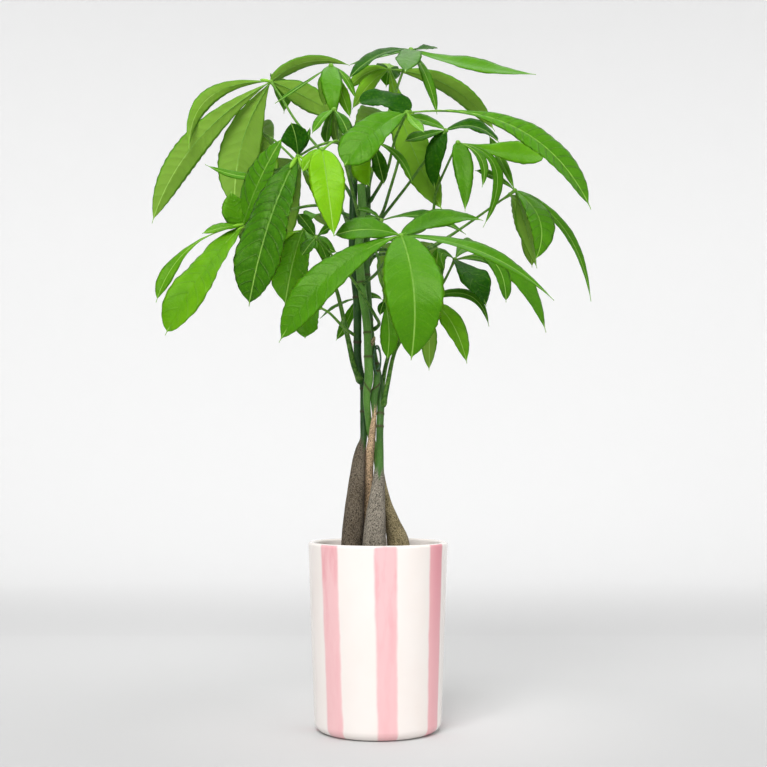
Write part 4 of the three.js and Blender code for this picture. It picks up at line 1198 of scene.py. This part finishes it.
def tie_shapes():
    """A wire in two tall loops that pass in front of the cut end, over it and behind it: an upright
    ellipse in the drawing plane whose height grows with the turn, swung to and fro in depth."""
    across, up, depth, radius = TRUNKS["trunk_cut"][-1]
    end = placed([across, up, depth]) / MM
    turn = np.linspace(0, TIE_TURNS, TIE_STEPS)
    angle = 2 * np.pi * (turn - TIE_START)
    path = np.stack([
        end[0] + TIE_REACH * np.cos(angle),
        end[1] - (radius + TIE_GAP) * np.cos(np.pi * turn),
        end[2] + TIE_LIFT + (TIE_RISE + TIE_GROWTH * turn) * np.sin(angle)], 1) * MM
    return [tube(path, np.full(len(path), WIRE_RADIUS), WIRE_SIDES)]


# Settings

SOIL_CROWN = 0.003

metres = functools.partial(bpy.props.FloatProperty, unit="LENGTH")
watts = functools.partial(bpy.props.FloatProperty, unit="POWER")
factor = functools.partial(bpy.props.FloatProperty, subtype="FACTOR")
colour = functools.partial(bpy.props.FloatVectorProperty, subtype="COLOR")


class PotSettings(bpy.types.PropertyGroup):
    """Sizes and colours of the pot and its soil."""

    height: metres(name="Height", description="Height of the pot", default=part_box("pot")[1][2])
    rim_radius: metres(
        name="Rim radius", description="Outer radius at the rim", default=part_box("pot")[1][0])
    foot_radius: metres(name="Foot radius", description="Outer radius above the foot", default=0.0634)
    wall: metres(name="Wall", description="Thickness of the wall", default=0.0055)
    floor: metres(name="Floor", description="Thickness of the floor", default=0.008)
    corner: metres(name="Corner", description="Radius of the foot's corner", default=0.010)
    lip: metres(name="Lip", description="Radius of the lip", default=0.0026)
    soil_radius: metres(name="Soil radius", description="Radius of the soil", default=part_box("soil")[1][0])
    soil_top: metres(
        name="Soil top", description="Height of the soil", default=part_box("soil")[1][2] - SOIL_CROWN)
    stripes: bpy.props.IntProperty(name="Stripes", description="Number of painted stripes", default=7)
    stripe_share: factor(name="Stripe share", description="Painted share of the girth", default=0.36)
    stripe_start: bpy.props.FloatProperty(
        name="First stripe", description="Angle of one stripe from the front",
        default=math.radians(7.5), subtype="ANGLE")
    stripe_drift: bpy.props.FloatProperty(
        name="Stripe drift", description="How far hand painting moved the stripes apart",
        default=math.radians(2.6), subtype="ANGLE")
    stripe_lean: bpy.props.FloatProperty(
        name="Stripe lean", description="Turn of the stripes for each metre upwards", default=0.27)
    cream: colour(name="Cream", description="Glaze colour", default=(0.92, 0.86, 0.82))
    cream_warm: colour(
        name="Warm cream", description="Glaze colour where it pools", default=(0.90, 0.80, 0.745))
    pink: colour(name="Pink", description="Stripe colour", default=(0.91, 0.545, 0.56))
    # Deep pink: thick paint, and painted shade on the stripes of the right side
    pink_deep: colour(
        name="Deep pink", description="Stripe colour where it is thick", default=(0.80, 0.29, 0.34))


class TrunkSettings(bpy.types.PropertyGroup):
    """Relief and colours of the trunks."""

    relief: bpy.props.FloatProperty(
        name="Bark relief", description="Height of the bark's wrinkles in millimetres", default=0.55)
    green: colour(name="Green", description="Skin of the upper stems", default=(0.095, 0.25, 0.035))
    green_dark: colour(name="Dark green", description="Shaded skin", default=(0.012, 0.052, 0.010))
    green_pale: colour(name="Pale green", description="Streaks in the skin", default=(0.22, 0.32, 0.10))
    scar: colour(name="Scar", description="Ring scars", default=(0.050, 0.024, 0.012))


class LeafSettings(bpy.types.PropertyGroup):
    """Form and colours of the leaves."""

    blade: metres(name="Blade", description="Thickness of a blade", default=0.0006)
    belly: factor(name="Belly", description="Share of the length where a leaflet is widest", default=0.6)
    fall: bpy.props.FloatProperty(
        name="Tip fall", description="How quickly the outline falls to the tip", default=0.85)
    fold: bpy.props.FloatProperty(
        name="Fold", description="Rise of the sides for each unit of half width", default=0.16)
    wave: bpy.props.FloatProperty(
        name="Wave", description="Edge wave as a share of the width", default=0.05)
    vein_gap: metres(name="Vein gap", description="Distance between side veins", default=0.0085)
    puff: metres(name="Puff", description="Rise between side veins", default=0.0012)
    sway: bpy.props.FloatProperty(
        name="Sway", description="Slow rise and fall of the blade as a share of the width", default=0.05)
    scallop: bpy.props.FloatProperty(
        name="Scallop", description="Depth of the scallops along the edge", default=0.022)
    stalk_foot: metres(
        name="Stalk foot", description="Radius of a leaf stalk at the trunk", default=0.0018)
    stalk_head: metres(
        name="Stalk head", description="Radius of a leaf stalk under the leaf", default=0.0011)
    roughness: factor(name="Roughness", description="Roughness of the upper side", default=0.30)
    vein_share: factor(name="Vein share", description="How pale the side veins are", default=0.07)
    # Painted shade in the creases along the side veins
    crease_shade: factor(name="Crease", description="How dark the creases along side veins are", default=0.22)
    specular: factor(name="Specular", description="Strength of the reflection", default=0.19)
    glow: factor(name="Glow", description="Share of light that passes into the blade", default=0.15)
    dark: colour(name="Dark", description="Old leaves", default=(0.009, 0.066, 0.002))
    middle: colour(name="Middle", description="Grown leaves", default=(0.060, 0.218, 0.003))
    lime: colour(name="Lime", description="Young leaves", default=(0.165, 0.41, 0.003))
    under: colour(name="Underside", description="Pale underside", default=(0.165, 0.315, 0.035))
    under_dark: colour(
        name="Dark underside", description="Underside of old leaves", default=(0.078, 0.175, 0.018))
    vein: colour(name="Vein", description="Pale veins", default=(0.36, 0.60, 0.12))
    stalk: colour(name="Stalk", description="Young stalks", default=(0.15, 0.36, 0.025))
    stalk_dark: colour(name="Dark stalk", description="Old stalks", default=(0.016, 0.080, 0.008))
    bud: colour(name="Bud", description="Young buds", default=(0.22, 0.48, 0.03))


class StageSettings(bpy.types.PropertyGroup):
    """The floor and the lights."""

    floor: colour(name="Floor", description="Colour of the backdrop", default=(0.68, 0.68, 0.68))
    # Painted shade on the floor in front
    near_floor: colour(
        name="Near floor", description="Colour of the floor in front", default=(0.51, 0.51, 0.51))
    # Painted shade on the back just past the line, painted light higher up
    low_wall: colour(name="Low back", description="Colour just past the line", default=(0.66, 0.66, 0.66))
    high_wall: colour(name="High back", description="Colour higher up", default=(0.82, 0.82, 0.82))
    # The back's glow is painted light, from just past the line to higher up
    glow_low: bpy.props.FloatProperty(
        name="Low glow", description="Light of the back just past the line", default=0.01)
    glow_high: bpy.props.FloatProperty(
        name="High glow", description="Light of the back higher up", default=0.20)
    # A painted pool of light round the pot
    pool: factor(name="Pool", description="How much paler the floor is round the pot", default=0.22)
    line: metres(name="Line", description="Distance behind the plant where the floor ends", default=0.70)
    flat: metres(name="Flat floor", description="Radius of the flat floor", default=1.7)
    key: watts(name="Key light", description="Power of the key light", default=36.0)
    fill: watts(name="Fill light", description="Power of the fill light", default=8.0)
    top: watts(name="Top light", description="Power of the top light", default=16.0)
    sky: bpy.props.FloatProperty(name="Sky", description="Strength of the even light", default=0.53)


# Operators

# Each light's place and size, the point that they look at, and the backdrop's hub and sides
LIGHTS = {
    "key": ((-0.45, -1.50, 1.60), 1.0),
    "fill": ((1.3, -1.1, 0.9), 1.4),
    "top": ((0.1, 0.3, 2.1), 1.6),
}
AIM = (0.0, 0.0, 0.4)
BACKDROP_HUB = 0.01
BACKDROP_SIDES = 96


class PLANT_OT_stage(bpy.types.Operator):
    """Make the backdrop, the lights and the camera"""

    bl_idname = "plant.stage"
    bl_label = "Stage"

    def execute(self, context):
        look = context.scene.plant_stage
        profile = np.vstack([
            [[BACKDROP_HUB, 0.0]],
            wall([BACKDROP_HUB, 0.0], [look.flat, 0.0], 12),
            arc([look.flat, CURVE], CURVE, -90, 0, 24),
            wall([look.flat + CURVE, CURVE], [look.flat + CURVE, WALL_HEIGHT], 6),
        ])
        angle = np.linspace(0, 2 * np.pi, BACKDROP_SIDES + 1)
        places = np.stack([
            profile[:, 0:1] * np.cos(angle), profile[:, 0:1] * np.sin(angle),
            np.broadcast_to(profile[:, 1:2], (len(profile), len(angle)))], -1)
        rows, sides = places.shape[:2]
        row = np.arange(rows - 1)[:, None] * sides
        side = np.arange(sides - 1)[None, :]
        quads = np.stack([row + side, row + side + sides, row + side + sides + 1, row + side + 1], -1)
        middle = [tuple(range(sides - 1))]
        mesh = bpy.data.meshes.new("floor")
        faces = quads.reshape(-1, 4).tolist() + middle
        mesh.from_pydata(places.reshape(-1, 3).tolist(), [], faces)
        mesh.shade_smooth()
        floor = bpy.data.objects.new("floor", mesh)
        context.scene.collection.objects.link(floor)
        mesh.materials.append(backdrop_material(look))
        for name, (place, size) in LIGHTS.items():
            self.light(context, name, place, size, getattr(look, name))
        world = bpy.data.worlds.new("even_light")
        world.use_nodes = True
        even = world.node_tree.nodes["Background"].inputs
        even["Color"].default_value = opaque(WHITE)
        even["Strength"].default_value = look.sky
        context.scene.world = world
        context.scene.view_settings.view_transform = "Standard"
        data = bpy.data.cameras.new("camera")
        data.sensor_width = SENSOR
        data.lens = SENSOR * EYE_DISTANCE / DRAWN_WIDTH
        data.shift_y = DRAWN_RISE / DRAWN_WIDTH
        camera = bpy.data.objects.new("camera", data)
        camera.location = (EYE_ACROSS * MM, -EYE_DISTANCE * MM, EYE_HEIGHT * MM)
        camera.rotation_euler = (math.radians(90), 0, 0)
        context.scene.collection.objects.link(camera)
        context.scene.camera = camera
        return {"FINISHED"}

    def light(self, context, name, place, size, power):
        """A square area light that looks at the middle of the plant."""
        data = bpy.data.lights.new(name, "AREA")
        data.size = size
        data.energy = power
        lamp = bpy.data.objects.new(name, data)
        lamp.location = place
        lamp.visible_camera = False
        way = np.array(AIM) - np.array(place)
        flat = math.hypot(way[0], way[1])
        lamp.rotation_euler = (math.atan2(flat, -way[2]), 0, math.atan2(way[1], way[0]) - math.pi / 2)
        context.scene.collection.objects.link(lamp)


class PLANT_OT_pot(bpy.types.Operator):
    """Make the striped glazed pot"""

    bl_idname = "plant.pot"
    bl_label = "Pot"

    def execute(self, context):
        look = context.scene.plant_pot
        piece("pot_glazed", [pot_shape(look)], [glaze_material(look)], ["pot"])
        return {"FINISHED"}


class PLANT_OT_soil(bpy.types.Operator):
    """Make the potting mix and the loose chips on it"""

    bl_idname = "plant.soil"
    bl_label = "Soil"

    def execute(self, context):
        piece("potting_soil", soil_shapes(context.scene.plant_pot), [soil_material()], ["soil"])
        return {"FINISHED"}


class PLANT_OT_trunks(bpy.types.Operator):
    """Make the four braided trunks"""

    bl_idname = "plant.trunks"
    bl_label = "Trunks"

    def execute(self, context):
        look = context.scene.plant_trunks
        for name in TRUNKS:
            _, bark, painted_light, _ = TRUNK_LOOKS[name]
            material = trunk_material(f"{name}_bark", look, bark, painted_light)
            buds = [bud(*row, woody=1.0) for row in BUDS.get(name, ())]
            piece(f"{name}_grown", [trunk_shape(name, look)] + buds, [material], [name])
        return {"FINISHED"}


class PLANT_OT_tie(bpy.types.Operator):
    """Make the wire tie round the cut trunk"""

    bl_idname = "plant.tie"
    bl_label = "Wire tie"

    def execute(self, context):
        piece("coated_wire_tie", tie_shapes(), [tie_material()], ["wire_tie"])
        return {"FINISHED"}


class PLANT_OT_leaves(bpy.types.Operator):
    """Make every palmate leaf"""

    bl_idname = "plant.leaves"
    bl_label = "Leaves"

    def execute(self, context):
        look = context.scene.plant_leaves
        materials = [blade_material(look), stalk_material(look)]
        for name in LEAVES:
            piece(f"{name}_grown", leaf_shapes(name, look), materials, [name])
        return {"FINISHED"}


class PLANT_PT_panel(bpy.types.Panel):
    """The plant's pieces in the order they are made"""

    bl_label = "Potted money tree"
    bl_idname = "PLANT_PT_panel"
    bl_space_type = "VIEW_3D"
    bl_region_type = "UI"
    bl_category = "Plant"

    def draw(self, context):
        for step in STEPS:
            self.layout.operator(step.bl_idname)
        for group in GROUPS:
            self.layout.label(text=group)
            settings = getattr(context.scene, group)
            for name in settings.__annotations__:
                self.layout.prop(settings, name)


STEPS = (PLANT_OT_stage, PLANT_OT_pot, PLANT_OT_soil, PLANT_OT_trunks, PLANT_OT_tie, PLANT_OT_leaves)
GROUPS = {
    "plant_pot": PotSettings,
    "plant_trunks": TrunkSettings,
    "plant_leaves": LeafSettings,
    "plant_stage": StageSettings,
}


def register():
    """Registers the settings, the operators and the panel."""
    for kind in (*GROUPS.values(), *STEPS, PLANT_PT_panel):
        bpy.utils.register_class(kind)
    for name, kind in GROUPS.items():
        setattr(bpy.types.Scene, name, bpy.props.PointerProperty(type=kind))


def unregister():
    """Takes away what register made."""
    for name in GROUPS:
        delattr(bpy.types.Scene, name)
    for kind in (PLANT_PT_panel, *reversed(STEPS), *GROUPS.values()):
        bpy.utils.unregister_class(kind)


def main():
    """Builds the plant on its stage."""
    register()
    bpy.ops.plant.stage()
    bpy.ops.plant.pot()
    bpy.ops.plant.soil()
    bpy.ops.plant.trunks()
    bpy.ops.plant.tie()
    bpy.ops.plant.leaves()


if __name__ == "__main__":
    main()
